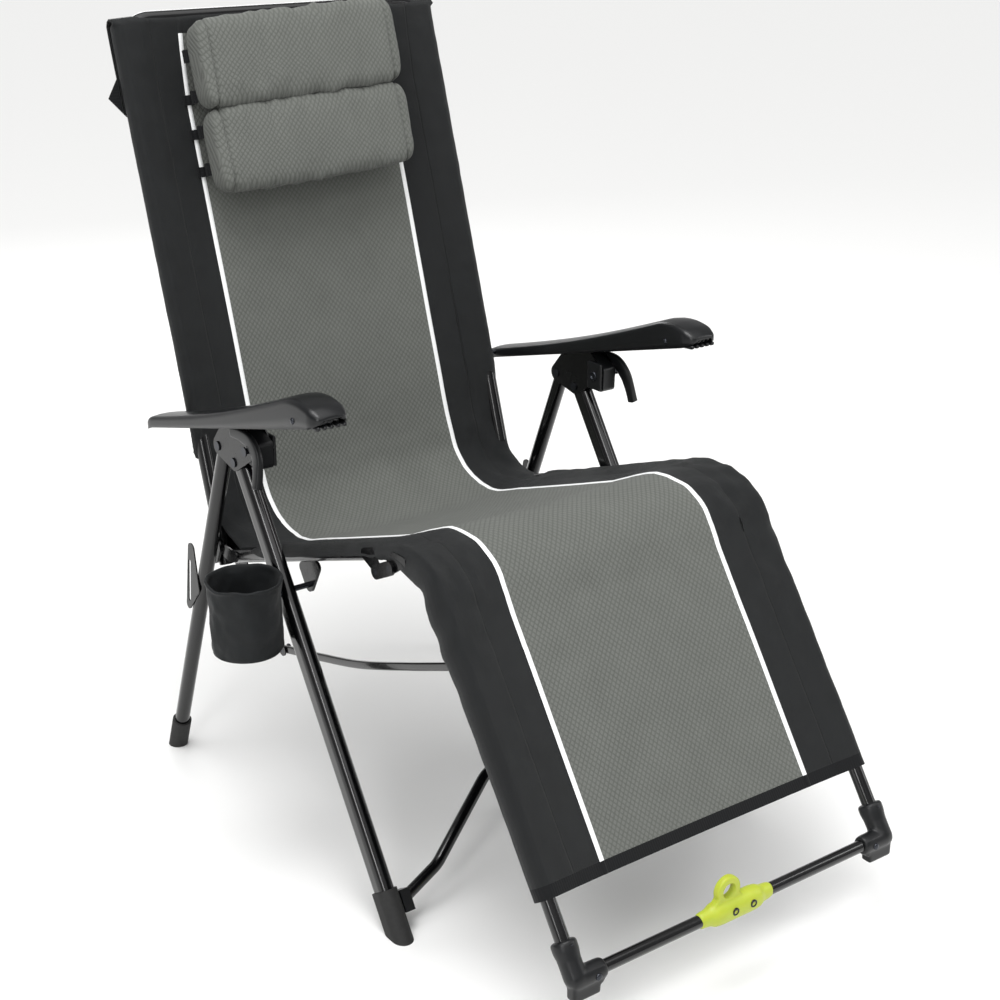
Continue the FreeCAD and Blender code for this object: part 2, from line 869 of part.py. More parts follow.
def back_rail(side, sign):
    name = f"back_rail_{side}"
    x = rail_x(sign)
    left = x - R_RAIL - GAP
    reach = "2 * (Sizes.rail_radius + Sizes.running_gap)"
    holes = [
        pin_hole(name + "_pivot_hole", BACK_PIVOT, left, reach),
        pin_hole(name + "_arm_hole", ARM_PIVOT, left, reach),
    ]
    tube = straight_tube(
        name, "Sizes.rail_radius", at(x, on_back(-rail_low)), at(x, on_back(joint_at)),
        "Sizes.back_rail_length", holes,
    )
    return keep(tube, name)


both(back_rail)
hoop_points = [
    at(-RAIL, on_back(joint_at)), at(-RAIL, on_back(hoop_axis)),
    at(RAIL, on_back(hoop_axis)), at(RAIL, on_back(joint_at)),
]
keep(
    bent_tube("back_top_hoop", hoop_points, size("top_bend"), R_RAIL, size("wall")),
    "back_top_hoop",
)


def crank(side, sign):
    """The arm below the back that works the leg rest's link."""
    name = f"back_crank_{side}"
    outline = hull([
        (CRANK, 9.0), (on_back(4.0), 9.0), (on_back(46.0), 8.0),
    ])
    thick = size("ear_thickness")
    return keep(
        plate(
            name, outline, "Sizes.ear_thickness", low_x(sign, crank_in, thick),
            [(CRANK, PIN_HOLE), (BACK_PIVOT, PIN_HOLE)],
        ),
        name,
    )


both(crank)
band(
    "back_sling", [on_back(88.0), on_back(hoop_axis + 2.0)], 0, -sling_near, -sling_far,
    sling_half,
)

# two webbing strips that the pillow hangs on
derive("webbing_length", size("pillow_high") - size("pillow_low") + 200, "webbing strip")
derive("webbing_thickness", 1.0, "webbing strip")


def webbing(side, sign):
    obj = doc.addObject("Part::Box", f"webbing_{side}")
    obj.setExpression("Length", "Sizes.webbing_width")
    obj.setExpression("Width", "Sizes.webbing_thickness")
    obj.setExpression("Height", "Sizes.webbing_length")
    x = sign * size("webbing_half_gap") - size("webbing_width") / 2
    start = on_back(size("pillow_high") - size("webbing_length"), sling_far + 0.1)
    thick = size("webbing_thickness")
    turn = Rotation(Vector(1, 0, 0), back_angle - 90)
    obj.Placement = Placement(
        at(x, start) - turn.multVec(Vector(0, thick, 0)), turn
    )
    return obj


group("pillow_webbing", both(webbing))


# ---------------------------------------------------------------- pillow

pillow_near = sling_far + 0.1 + size("webbing_thickness") + GAP
lobe = size("pillow_depth") / 2
pillow_mid = (size("pillow_low") + size("pillow_high")) / 2
derive("pillow_across", size("pillow_width"), "pillow, sideways")
pillow_ends = [
    (on_back(size("pillow_low") + lobe, pillow_near + lobe), lobe),
    (on_back(size("pillow_high") - lobe, pillow_near + lobe), lobe),
]
pillow = plate(
    "pillow", hull(pillow_ends), "Sizes.pillow_width", -size("pillow_width") / 2
)
keep(pillow, "pillow")


# ---------------------------------------------------------------- knee plates

def knee_plate(side, sign):
    name = f"knee_hinge_plate_{side}"
    return keep(hinge_plate(name, sign, KNEE_SEAT, KNEE_REST), name)


both(knee_plate)


def knee_pins(side, sign):
    return [
        rivet(
            f"knee_pin_{label}_{side}", where, low_x(sign, ear_in, size("book_pin")),
            "Sizes.book_pin", (False, False),
        )
        for label, where in (("seat", KNEE_SEAT), ("rest", KNEE_REST))
    ]


pins = both(knee_pins)
group("knee_pins", [p for pair in pins for p in pair])


# ---------------------------------------------------------------- leg rest

REST_START = (size("rest_start_y"), size("rest_top_z"))
REST_BEND = (size("rest_bend_y"), size("rest_top_z"))
rest_angle = heading(REST_BEND, FOOT_BAR)
rest_r = size("legrest_radius")


def rest_rail(side, sign):
    name = f"legrest_rail_{side}"
    x = rail_x(sign)
    points = [at(x, REST_START), at(x, REST_BEND), at(x, FOOT_BAR)]
    return keep(bent_tube(name, points, size("rest_bend"), rest_r, size("wall")), name)


both(rest_rail)


def rest_ear(side, sign):
    """The ear that joins a leg rest rail to its knee plate."""
    start, bend = REST_START, REST_BEND
    return ear(
        f"rest_ear_{side}", sign,
        [((start[0] - 24, start[1]), 7.0), (KNEE_REST, 8.0),
         ((start[0] - 4, start[1]), 7.0)],
        KNEE_REST,
    )


def link_bracket(side, sign):
    """The lug inside a leg rest rail that the link bar pushes."""
    rail_at = along(REST_BEND, rest_angle, 62.0)
    rail_below = along(REST_BEND, rest_angle, 100.0)
    return plate(
        f"link_bracket_{side}",
        hull([(LINK_FRONT, 9.0), (rail_at, 7.0), (rail_below, 7.0)]),
        "Sizes.ear_thickness",
        low_x(sign, RAIL - rest_r - 0.1 - size("ear_thickness"), size("ear_thickness")),
    )


group("legrest_ears", both(rest_ear))
group("link_brackets", both(link_bracket))


def corner(side, sign):
    """The plastic elbow that joins a leg rest rail to the foot bar, with its skid."""
    name = f"legrest_corner_{side}"
    x = rail_x(sign)
    up = at(0, along((0, 0), rest_angle + 180, 1.0))
    centre = at(x, FOOT_BAR)
    sleeve = round_bar(
        name + "_sleeve", "Sizes.legrest_radius + 3.5", centre, up, "62"
    )
    inward = Vector(-sign, 0, 0)
    arm = round_bar(name + "_arm", "Sizes.bar_radius + 5", centre, inward, "42")
    ball = doc.addObject("Part::Sphere", name + "_ball")
    ball.setExpression("Radius", "Sizes.legrest_radius + 3.5")
    ball.Placement = Placement(centre, Rotation())
    skid = plate(
        name + "_skid",
        hull([
            ((FOOT_BAR[0] - 2, FOOT_BAR[1] - 24), 6.0), ((FOOT_BAR[0] + 4, FOOT_BAR[1]), 9.0),
            ((FOOT_BAR[0] - 4, FOOT_BAR[1]), 9.0),
        ]),
        "34", low_x(sign, RAIL - 42, 34),
    )
    body = fuse(name + "_body", [sleeve, arm, ball, skid])
    rail_room = round_bar(
        name + "_rail_room", "Sizes.legrest_radius + 0.1", centre, up, "80"
    )
    bar_room = round_bar(
        name + "_bar_room", "Sizes.bar_radius + 0.1",
        centre + inward * (rest_r + 4), inward, "80",
    )
    return keep(cut(name, body, [rail_room, bar_room]), name)


both(corner)
bar_half = RAIL - rest_r - 4.5
derive("foot_bar_length", 2 * bar_half, "foot bar")
keep(
    straight_tube(
        "foot_bar", "Sizes.bar_radius", at(-bar_half, FOOT_BAR), at(bar_half, FOOT_BAR),
        "Sizes.foot_bar_length",
    ),
    "foot_bar",
)

# the pull tab: a split clamp with a finger ring
tab_x = size("tab_offset") - size("tab_width") / 2
tab_shell = round_bar(
    "tab_shell", "Sizes.bar_radius + Sizes.tab_wall", at(tab_x, FOOT_BAR),
    Vector(1, 0, 0), "Sizes.tab_width",
)
ring_centre = Vector(
    size("ring_offset"), FOOT_BAR[0],
    FOOT_BAR[1] + bar_r + size("tab_wall") + size("ring_hole") + 2,
)
derive("ring_thickness", 10.0, "finger ring, front to back")
ring_low = ring_centre + Vector(0, size("ring_thickness") / 2, 0)
ring_disc = round_bar(
    "ring_disc", "Sizes.ring_radius", ring_low, Vector(0, -1, 0), "Sizes.ring_thickness"
)
ring_eye = round_bar(
    "ring_eye", "Sizes.ring_hole", ring_low + Vector(0, 20, 0), Vector(0, -1, 0), "60"
)
tab_bore = round_bar(
    "tab_bore", "Sizes.bar_radius + 0.1", at(tab_x - 5, FOOT_BAR), Vector(1, 0, 0),
    "Sizes.tab_width + 10",
)
tab_body = fuse("tab_body", [tab_shell, ring_disc])
keep(cut("pull_tab", tab_body, [ring_eye, tab_bore]), "pull_tab")

tab_screws = []
for i, x in enumerate((size("tab_offset") - 14, size("tab_offset") + 18)):
    front = at(x, (FOOT_BAR[0] - bar_r - size("tab_wall") - 1.2, FOOT_BAR[1]))
    screw = round_bar(f"tab_screw_{i}", "Sizes.pin_radius + 1", front, Vector(0, 1, 0), "1.2")
    tab_screws.append(screw)
group("pull_tab_screws", tab_screws)

band(
    "legrest_sling",
    [(REST_START[0] - 4, REST_START[1]), REST_BEND, along(FOOT_BAR, rest_angle + 180, 104)],
    size("rest_bend"), rest_r + size("fabric_room") + 1.5,
    rest_r + size("fabric_room") + 1.5 + size("fabric"), sling_half,
)


# ---------------------------------------------------------------- link bars

def link_bar(side, sign):
    """A bar, a little curved, from the back's crank to the leg rest."""
    name = f"link_bar_{side}"
    half = size("link_width") / 2
    low = low_x(sign, link_in, size("link_thickness"))
    span = heading(CRANK, LINK_FRONT)
    length = math.dist(CRANK, LINK_FRONT)
    middle = along(along(CRANK, span, length * 0.46), span + 90, 14)
    runs = [
        plate(
            f"{name}_{label}", hull([(a, half), (b, half)]), "Sizes.link_thickness", low,
        )
        for label, a, b in (("rear", CRANK, middle), ("front", middle, LINK_FRONT))
    ]
    hole = pin_hole(name + "_hole", CRANK, low - GAP, "Sizes.link_thickness + 1")
    return keep(cut(name, fuse(name + "_bar", runs), [hole]), name)


both(link_bar)
derive(
    "crank_pin", crank_in + size("ear_thickness") - link_in + GAP, "pin at the crank"
)


def crank_pin(side, sign):
    return rivet(
        f"crank_pin_{side}", CRANK, low_x(sign, link_in - GAP, size("crank_pin")),
        "Sizes.crank_pin", (sign > 0, sign < 0),
    )


group("link_pins", both(crank_pin))


# ---------------------------------------------------------------- armrests

ARM_FRONT = point("arm_front")
ARM_NOSE = point("arm_nose")
derive(
    "arm_cavity", size("arm_width") - 2 * size("arm_wall"), "room inside an armrest"
)


def armrest(side, sign):
    """A channel, open below, that slides on the hub and turns on the back rail."""
    name = f"armrest_{side}"
    wall = size("arm_wall")
    rear = (ARM_PIVOT[0] + 14, ARM_PIVOT[1] - 4)
    shell = plate(
        name + "_shell",
        hull([(rear, 9.0), (ARM_FRONT, 18.0), (ARM_NOSE, 9.0), (ARM_FRONT, 18.0)]),
        "Sizes.arm_width", low_x(sign, arm_in, size("arm_width")),
    )
    front = (ARM_FRONT[0] + 8, ARM_FRONT[1] - 2)
    inside = (rear[0] - 6, rear[1])
    cavity = plate(
        name + "_cavity",
        hull([
            ((front[0], front[1] - 50), 14.0), ((inside[0], inside[1] - 40), 5.5),
            (inside, 5.5), (front, 14.5),
        ]),
        "Sizes.arm_cavity", low_x(sign, arm_in + wall, size("arm_cavity")),
    )
    inner_skirt = low_x(sign, arm_in - 1, wall + 2)
    hole = pin_hole(name + "_hole", ARM_PIVOT, inner_skirt, "Sizes.arm_wall + 2")
    return keep(cut(name, shell, [cavity, hole]), name)


both(armrest)
derive(
    "arm_pin", arm_in + size("arm_wall") - RAIL + R_RAIL + GAP,
    "pin at an armrest's rear",
)


def arm_pin(side, sign):
    return rivet(
        f"arm_pin_{side}", ARM_PIVOT, low_x(sign, RAIL - R_RAIL - GAP, size("arm_pin")),
        "Sizes.arm_pin", (sign > 0, sign < 0),
    )


group("arm_pivot_pins", both(arm_pin))


# ---------------------------------------------------------------- cup holder

cup_x = -(arm_in + size("arm_width") + 2 * GAP - 22.0) - size("cup_radius")
cup_top = Vector(cup_x, size("cup_y"), size("cup_rim_z"))
down = Vector(0, 0, -1)
cup_outside = round_bar("cup_outside", "Sizes.cup_radius", cup_top, down, "Sizes.cup_depth")
cup_inside = round_bar(
    "cup_inside", "Sizes.cup_radius - Sizes.cup_wall", cup_top + Vector(0, 0, 1), down,
    "Sizes.cup_depth - Sizes.cup_wall + 1",
)
keep(cut("cup_holder", cup_outside, [cup_inside]), "cup_holder")


def cup_ring():
    """The wire hoop in the cup holder's rim, as a bent tube's torus."""
    obj = doc.addObject("Part::Torus", "cup_ring")
    obj.setExpression("Radius1", "Sizes.cup_radius + 2.2")
    obj.Radius2 = 2.0
    obj.Placement = Placement(cup_top - Vector(0, 0, 8), Rotation())
    return keep(obj, "cup_holder_ring")


cup_ring()


def cup_strap(label, dz):
    """A strap from the cup holder to the front leg."""
    z = size("cup_rim_z") + dz
    leg_y = FRONT_FOOT[0] + z * (FRONT_RIVET[0] - FRONT_FOOT[0]) / FRONT_RIVET[1]
    width = abs(cup_x) - leg_x - size("leg_radius")
    obj = doc.addObject("Part::Box", f"cup_strap_{label}")
    obj.Length, obj.Width, obj.Height = 50.0, 3.0, 18.0
    x = -leg_x - size("leg_radius") - 0.2 - 50.0
    obj.Placement = Placement(
        Vector(x, size("cup_y") + size("cup_radius") - 8.0, z), Rotation()
    )
    return obj


keep(cut("cup_holder_strap", cup_strap("top", -40.0), [
    round_bar("cup_strap_room", "Sizes.cup_radius + 0.1", cup_top, down, "200")
]), "cup_holder_strap")

doc.recompute()
failed = [o.Name for o in doc.Objects if "Invalid" in o.State or "Error" in o.State]
if failed:
    raise RuntimeError(f"objects that did not rebuild: {failed}")
os.makedirs("parts", exist_ok=True)
for obj in pieces:
    if obj.Shape.isNull() or not obj.Shape.isValid():
        raise RuntimeError(f"{obj.Label} has no valid shape")
for obj in pieces:
    obj.Shape.exportStep(os.path.join("parts", obj.Label + ".step"))
print(len(pieces), "sub-parts written")
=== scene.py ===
import math

import bpy
import numpy as np
from mathutils import Matrix, Vector, noise


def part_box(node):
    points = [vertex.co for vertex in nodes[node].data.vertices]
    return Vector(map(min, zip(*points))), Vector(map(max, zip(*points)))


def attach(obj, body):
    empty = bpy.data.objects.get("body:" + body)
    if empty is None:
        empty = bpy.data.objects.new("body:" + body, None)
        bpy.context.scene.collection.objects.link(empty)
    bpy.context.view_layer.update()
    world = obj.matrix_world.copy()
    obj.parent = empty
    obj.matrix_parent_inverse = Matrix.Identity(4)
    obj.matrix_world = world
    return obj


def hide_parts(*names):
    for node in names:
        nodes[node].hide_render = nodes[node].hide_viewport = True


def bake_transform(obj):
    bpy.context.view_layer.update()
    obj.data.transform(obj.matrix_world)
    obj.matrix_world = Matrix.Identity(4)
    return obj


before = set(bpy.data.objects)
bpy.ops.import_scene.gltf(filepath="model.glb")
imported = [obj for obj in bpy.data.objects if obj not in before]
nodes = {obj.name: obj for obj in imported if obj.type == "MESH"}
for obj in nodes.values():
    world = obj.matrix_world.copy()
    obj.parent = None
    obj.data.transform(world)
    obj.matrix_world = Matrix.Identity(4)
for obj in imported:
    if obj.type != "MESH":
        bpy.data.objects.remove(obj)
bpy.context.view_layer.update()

# ------------------------------------------------------------------ the studio
# A pale seamless floor under a large soft ceiling light, a window light from the
# left and a fill from the right, seen from the chair's front left corner.

def linear(hex_colour):
    """An sRGB hex colour as a linear RGBA tuple."""
    channels = [int(hex_colour[i:i + 2], 16) / 255 for i in (1, 3, 5)]
    return tuple(
        c / 12.92 if c <= 0.04045 else ((c + 0.055) / 1.055) ** 2.4 for c in channels
    ) + (1.0,)


def new_finish(name, hex_colour, roughness, **sockets):
    """A material with one Principled shader whose plain values are set here."""
    material = bpy.data.materials.new(name)
    material.use_nodes = True
    shader = material.node_tree.nodes["Principled BSDF"]
    shader.inputs["Base Color"].default_value = linear(hex_colour)
    shader.inputs["Roughness"].default_value = roughness
    for socket, value in sockets.items():
        shader.inputs[socket.replace("_", " ")].default_value = value
    material.diffuse_color = linear(hex_colour)
    return material, shader


def new_mesh_object(name, points, faces, smooth=True):
    """A mesh object from points in metres and faces of point numbers."""
    mesh = bpy.data.meshes.new(name)
    mesh.from_pydata([tuple(p) for p in points], [], [tuple(f) for f in faces])
    mesh.validate()
    mesh.update()
    for face in mesh.polygons:
        face.use_smooth = smooth
    made = bpy.data.objects.new(name, mesh)
    bpy.context.scene.collection.objects.link(made)
    return made


floor_finish, floor_shader = new_finish("pale_studio_vinyl", "#f4f4f3", 0.9)
floor = new_mesh_object(
    "studio_floor",
    [(-300, -300, 0), (300, -300, 0), (300, 300, 0), (-300, 300, 0)], [(0, 1, 2, 3)],
)
floor.data.materials.append(floor_finish)

camera_data = bpy.data.cameras.new("studio_camera")
camera_data.lens = 61.98
camera_data.sensor_width = 36.0
camera = bpy.data.objects.new("studio_camera", camera_data)
camera.location = (-1.3049, -1.9585, 1.3350)
camera.rotation_euler = (math.radians(69.009), 0.0, math.radians(-36.246))
bpy.context.scene.collection.objects.link(camera)
bpy.context.scene.camera = camera

for light_name, where, aim, width, tall, power in (
    ("left_strip", (-2.4, -2.0, 1.8), (0, 0, 0.5), 0.45, 2.0, 26.0),
    ("ceiling_softbox", (-0.6, -0.4, 3.2), (0, 0, 0.4), 1.3, 1.3, 38.0),
    ("right_strip", (2.4, -1.9, 1.7), (0, 0, 0.5), 0.5, 2.0, 16.0),
    ("rim_light", (1.0, 3.0, 2.2), (0, 0, 0.6), 1.4, 1.0, 22.0),
):
    light_data = bpy.data.lights.new(light_name, "AREA")
    light_data.shape = "RECTANGLE"
    light_data.size = width
    light_data.size_y = tall
    light_data.energy = power
    light = bpy.data.objects.new(light_name, light_data)
    light.location = where
    direction = Vector(aim) - Vector(where)
    light.rotation_euler = direction.to_track_quat("-Z", "Y").to_euler()
    bpy.context.scene.collection.objects.link(light)

sky_data = bpy.data.lights.new("soft_sky", "SUN")
sky_data.energy = 2.0
sky_data.angle = 1.5
sky = bpy.data.objects.new("soft_sky", sky_data)
sky.rotation_euler = (math.radians(14), math.radians(-10), 0)
bpy.context.scene.collection.objects.link(sky)

world = bpy.data.worlds.new("studio_air")
world.use_nodes = True
world.node_tree.nodes["Background"].inputs["Color"].default_value = (1, 1, 1, 1)
world.node_tree.nodes["Background"].inputs["Strength"].default_value = 0.38
bpy.context.scene.world = world
bpy.context.scene.view_settings.view_transform = "Standard"

# ------------------------------------------------------------------ steel tubes
# Legs, rails, hoop, cross tube and foot bar: mild steel tube, bent cold and then
# powder coated black.  The coat flows out glossy with a faint orange peel.

def add_node(material, kind, inputs=None, **settings):
    """Add one shader node with its settings; inputs are numbers or sockets."""
    tree = material.node_tree
    made = tree.nodes.new(kind)
    for name, value in settings.items():
        setattr(made, name, value)
    for name, value in (inputs or {}).items():
        if isinstance(value, bpy.types.NodeSocket):
            tree.links.new(value, made.inputs[name])
        else:
            made.inputs[name].default_value = value
    return made


def to_shader(material, shader, socket, output):
    material.node_tree.links.new(output, shader.inputs[socket])


def clouds(material, place, size, detail):
    """Noise with features of about size metres."""
    return add_node(material, "ShaderNodeTexNoise", {
        "Vector": place, "Scale": 1 / size, "Detail": detail,
    }).outputs["Fac"]


def add_bump(material, shader, height, strength, distance):
    """Relief from a height socket; distance is its depth in metres."""
    bump = add_node(material, "ShaderNodeBump", {
        "Height": height, "Strength": strength, "Distance": distance,
    })
    to_shader(material, shader, "Normal", bump.outputs["Normal"])


powder_coat, shader = new_finish(
    "black_powder_coat", "#040405", 0.24, Coat_Weight=0.45, Coat_Roughness=0.04,
    Specular_IOR_Level=0.35,
)
place = add_node(powder_coat, "ShaderNodeTexCoord")
peel = clouds(powder_coat, place.outputs["Object"], 0.0022, 1.0)
dust = clouds(powder_coat, place.outputs["Object"], 0.045, 4.0)
shine = add_node(powder_coat, "ShaderNodeMapRange", {
    "Value": dust, "From Min": 0.3, "From Max": 0.75,
    "To Min": 0.16, "To Max": 0.28,
})
to_shader(powder_coat, shader, "Roughness", shine.outputs["Result"])
add_bump(powder_coat, shader, peel, 0.12, 0.0002)


def give(material, *names):
    """Put a material on carried-over pieces of the frame."""
    for name in names:
        worn = nodes[name].data.materials
        if not worn:
            worn.append(material)
        for slot in range(len(worn)):
            worn[slot] = material


SIDES = (("left", -1), ("right", 1))
for side, sign in SIDES:
    give(
        powder_coat, f"front_leg_{side}", f"rear_leg_{side}", f"seat_rail_{side}",
        f"back_rail_{side}", f"legrest_rail_{side}",
    )
give(powder_coat, "front_cross_tube", "back_top_hoop", "foot_bar")

# ------------------------------------------------------------------ pressed plates
# Hub plates, ears, hinge plates, brackets, cranks and link bars: strip steel,
# blanked and powder coated.  The coat thins at the cut edges and shines there.

def soften_edges(width, *names):
    """Round the sharp edges of carried-over pieces with a small bevel."""
    for name in names:
        bevel = nodes[name].modifiers.new("rounded_edges", "BEVEL")
        bevel.width = width
        bevel.segments = 2
        bevel.limit_method = "ANGLE"
        bevel.angle_limit = math.radians(40)
        bevel.harden_normals = False


plate_coat, shader = new_finish(
    "black_coated_strip_steel", "#050506", 0.3, Coat_Weight=0.15, Coat_Roughness=0.1,
    Specular_IOR_Level=0.3,
)
place = add_node(plate_coat, "ShaderNodeTexCoord")
grain = clouds(plate_coat, place.outputs["Object"], 0.003, 3.0)
wear = clouds(plate_coat, place.outputs["Object"], 0.02, 5.0)
tint = add_node(plate_coat, "ShaderNodeMapRange", {
    "Value": wear, "From Min": 0.4, "From Max": 0.8,
    "To Min": 0.2, "To Max": 0.34,
})
to_shader(plate_coat, shader, "Roughness", tint.outputs["Result"])
add_bump(plate_coat, shader, grain, 0.1, 0.0002)
plates = ["seat_rail_ears", "legrest_ears", "link_brackets"]
for side, sign in SIDES:
    plates += [
        f"hub_plates_{side}", f"rear_slot_plate_{side}", f"seat_bracket_{side}",
        f"back_hinge_plate_{side}", f"back_crank_{side}", f"knee_hinge_plate_{side}",
        f"link_bar_{side}",
    ]
give(plate_coat, *plates)
soften_edges(0.0006, *plates)

# ------------------------------------------------------------------ rivets and pins
# Zinc-plated steel rivets, set cold and blackened over the coat, so that their
# domed heads are a little brighter than the tubes around them.

rivet_finish, shader = new_finish("blackened_zinc_steel", "#3c3e43", 0.25, Metallic=0.9)
place = add_node(rivet_finish, "ShaderNodeTexCoord")
scuff = clouds(rivet_finish, place.outputs["Object"], 0.0015, 3.0)
add_bump(rivet_finish, shader, scuff, 0.15, 0.0002)
pins = (
    "seat_pivot_pins", "hub_rivets", "back_hinge_pins", "link_pins", "arm_pivot_pins",
    "knee_pins", "pull_tab_screws", "cup_holder_ring",
)
give(rivet_finish, *pins)
soften_edges(0.0009, *pins)

# ------------------------------------------------------------------ moulded parts
# Lock blocks, levers and sockets: glass-filled nylon from a spark-eroded mould,
# dark grey-black with a fine even grain and a soft shine.

def between(material, factor, first, second):
    """A blend of two colours, each a hex colour or a socket."""
    first, second = (linear(c) if isinstance(c, str) else c for c in (first, second))
    return add_node(material, "ShaderNodeMix", {
        "Factor": factor, "A": first, "B": second,
    }, data_type="RGBA").outputs["Result"]


nylon, shader = new_finish("moulded_black_nylon", "#101113", 0.36, Specular_IOR_Level=0.35)
place = add_node(nylon, "ShaderNodeTexCoord")
spark = clouds(nylon, place.outputs["Object"], 0.0009, 2.0)
cloud = clouds(nylon, place.outputs["Object"], 0.03, 3.0)
tone = between(nylon, cloud, "#0d0e0f", "#161719")
to_shader(nylon, shader, "Base Color", tone)
add_bump(nylon, shader, spark, 0.25, 0.0003)
moulded = ["cross_tube_sockets"]
for side, sign in SIDES:
    moulded += [f"lock_block_{side}", f"recline_lever_{side}"]
give(nylon, *moulded)
soften_edges(0.0022, *moulded)

# ------------------------------------------------------------------ rubber feet
# Black rubber boots pressed over the leg ends, matt, with a little dust in the
# grain of the mould.

rubber, shader = new_finish("black_boot_rubber", "#131313", 0.72)
place = add_node(rubber, "ShaderNodeTexCoord")
chalk = clouds(rubber, place.outputs["Object"], 0.006, 5.0)
tone = between(rubber, chalk, "#0f0f10", "#232322")
to_shader(rubber, shader, "Base Color", tone)
add_bump(rubber, shader, chalk, 0.2, 0.0004)
for side, sign in SIDES:
    give(rubber, f"front_foot_{side}", f"rear_foot_{side}")
    soften_edges(0.0015, f"front_foot_{side}", f"rear_foot_{side}")

# ------------------------------------------------------------------ sling cloths
# The middle of the sling is a grey polyester jacquard over thin foam, woven in
# staggered lozenges.  The sides are black 600-denier polyester, and a flat white
# cord is sewn between the two.  The hems are bound with black tape.

def calc(material, operation, *values):
    """One step of arithmetic on numbers or sockets."""
    step = add_node(
        material, "ShaderNodeMath", dict(enumerate(values)), operation=operation
    )
    return step.outputs[0]


# each lozenge is 7.8 mm wide and 9.2 mm long, in staggered rows
LOZENGE = (0.0078, 0.0092)
jacquard, shader = new_finish(
    "grey_foamed_jacquard", "#62645f", 0.86, Sheen_Weight=0.06, Specular_IOR_Level=0.2,
)
cut = add_node(jacquard, "ShaderNodeUVMap", uv_map="cut")
cloth = add_node(jacquard, "ShaderNodeSeparateXYZ", {"Vector": cut.outputs["UV"]})
across = calc(jacquard, "MULTIPLY", cloth.outputs["X"], 2 * math.pi / LOZENGE[0])
down = calc(jacquard, "MULTIPLY", cloth.outputs["Y"], 2 * math.pi / LOZENGE[1])
across = calc(jacquard, "COSINE", across)
down = calc(jacquard, "COSINE", down)
lozenge = calc(jacquard, "ADD", across, down)
lozenge = calc(jacquard, "ABSOLUTE", lozenge)
pit = add_node(jacquard, "ShaderNodeMapRange", {
    "Value": lozenge, "From Min": -0.2, "From Max": 1.4,
}, interpolation_type="SMOOTHSTEP")
mottle = clouds(jacquard, cut.outputs["UV"], 0.05, 5.0)
yarn = clouds(jacquard, cut.outputs["UV"], 0.0016, 1.0)
# the lozenge colour is partly the woven pattern and partly painted shade: darker in the hollows
# that the relief below sinks
pattern_and_pit_shade_tone = between(jacquard, pit.outputs["Result"], "#4d4f4b", "#676965")
light_tone = between(jacquard, mottle, "#565854", "#6c6e6a")
tone = between(jacquard, 0.4, pattern_and_pit_shade_tone, light_tone)
to_shader(jacquard, shader, "Base Color", tone)
relief = calc(jacquard, "MULTIPLY_ADD", yarn, 0.25, pit.outputs["Result"])
add_bump(jacquard, shader, relief, 0.55, 0.0011)

# black side cloth: threads at 1.2 mm, which is as fine as still shows, with two
# rows of thread along the middle that close the sleeve round the rail
side_cloth, shader = new_finish(
    "black_600_denier_polyester", "#0e1011", 0.58, Sheen_Weight=0.06, Sheen_Roughness=0.4,
    Specular_IOR_Level=0.28,
)
cut = add_node(side_cloth, "ShaderNodeUVMap", uv_map="cut")
cloth = add_node(side_cloth, "ShaderNodeSeparateXYZ", {"Vector": cut.outputs["UV"]})
threads = []
for axis in ("X", "Y"):
    turns = calc(side_cloth, "MULTIPLY", cloth.outputs[axis], 2 * math.pi / 0.0012)
    threads.append(calc(side_cloth, "SINE", turns))
weave = calc(side_cloth, "MULTIPLY", threads[0], threads[1])
crush = add_node(side_cloth, "ShaderNodeTexNoise", {
    "Vector": cut.outputs["UV"], "Scale": 1 / 0.035, "Detail": 6.0, "Roughness": 0.6,
})
tone = between(side_cloth, crush.outputs["Fac"], "#08090b", "#151819")
mirrored = calc(side_cloth, "ABSOLUTE", cloth.outputs["X"])
from_seam = calc(side_cloth, "SUBTRACT", mirrored, 0.2165)
from_seam = calc(side_cloth, "ABSOLUTE", from_seam)
on_seam = add_node(side_cloth, "ShaderNodeMapRange", {
    "Value": from_seam, "From Min": 0.0008, "From Max": 0.0013,
    "To Min": 1.0, "To Max": 0.0,
})
stitch_turn = calc(side_cloth, "MULTIPLY", cloth.outputs["Y"], 1 / 0.0065)
stitch_turn = calc(side_cloth, "FRACT", stitch_turn)
dash = calc(side_cloth, "LESS_THAN", stitch_turn, 0.62)
stitch = calc(side_cloth, "MULTIPLY", on_seam.outputs["Result"], dash)
sewn = between(side_cloth, stitch, tone, "#0a0b0b")
to_shader(side_cloth, shader, "Base Color", sewn)
height = calc(side_cloth, "MULTIPLY_ADD", weave, 0.12, crush.outputs["Fac"])
height = calc(side_cloth, "MULTIPLY_ADD", on_seam.outputs["Result"], -0.6, height)
add_bump(side_cloth, shader, height, 0.7, 0.0028)

white_cord, shader = new_finish("white_reflective_cord", "#eceded", 0.5)
cut = add_node(white_cord, "ShaderNodeUVMap", uv_map="cut")
ribs = add_node(white_cord, "ShaderNodeTexWave", {
    "Vector": cut.outputs["UV"], "Scale": 1 / 0.0025 / 6.283, "Distortion": 1.0,
}, bands_direction="Y")
add_bump(white_cord, shader, ribs.outputs["Fac"], 0.25, 0.0004)

binding, shader = new_finish(
    "black_binding_tape", "#0c0d0f", 0.75, Sheen_Weight=0.05, Specular_IOR_Level=0.2,
)
cut = add_node(binding, "ShaderNodeUVMap", uv_map="cut")
ribs = add_node(binding, "ShaderNodeTexWave", {
    "Vector": cut.outputs["UV"], "Scale": 1 / 0.0018 / 6.283, "Distortion": 0.5,
}, bands_direction="X")
add_bump(binding, shader, ribs.outputs["Fac"], 0.4, 0.0005)

# ------------------------------------------------------------------ the sling
# One cloth from a pocket over the top hoop, down the back, through the seat's
# rear corner, over the knee and down to the hem.  Its sides are sleeves round
# the rails.  It is cut into panels here only where the frame's joints are.

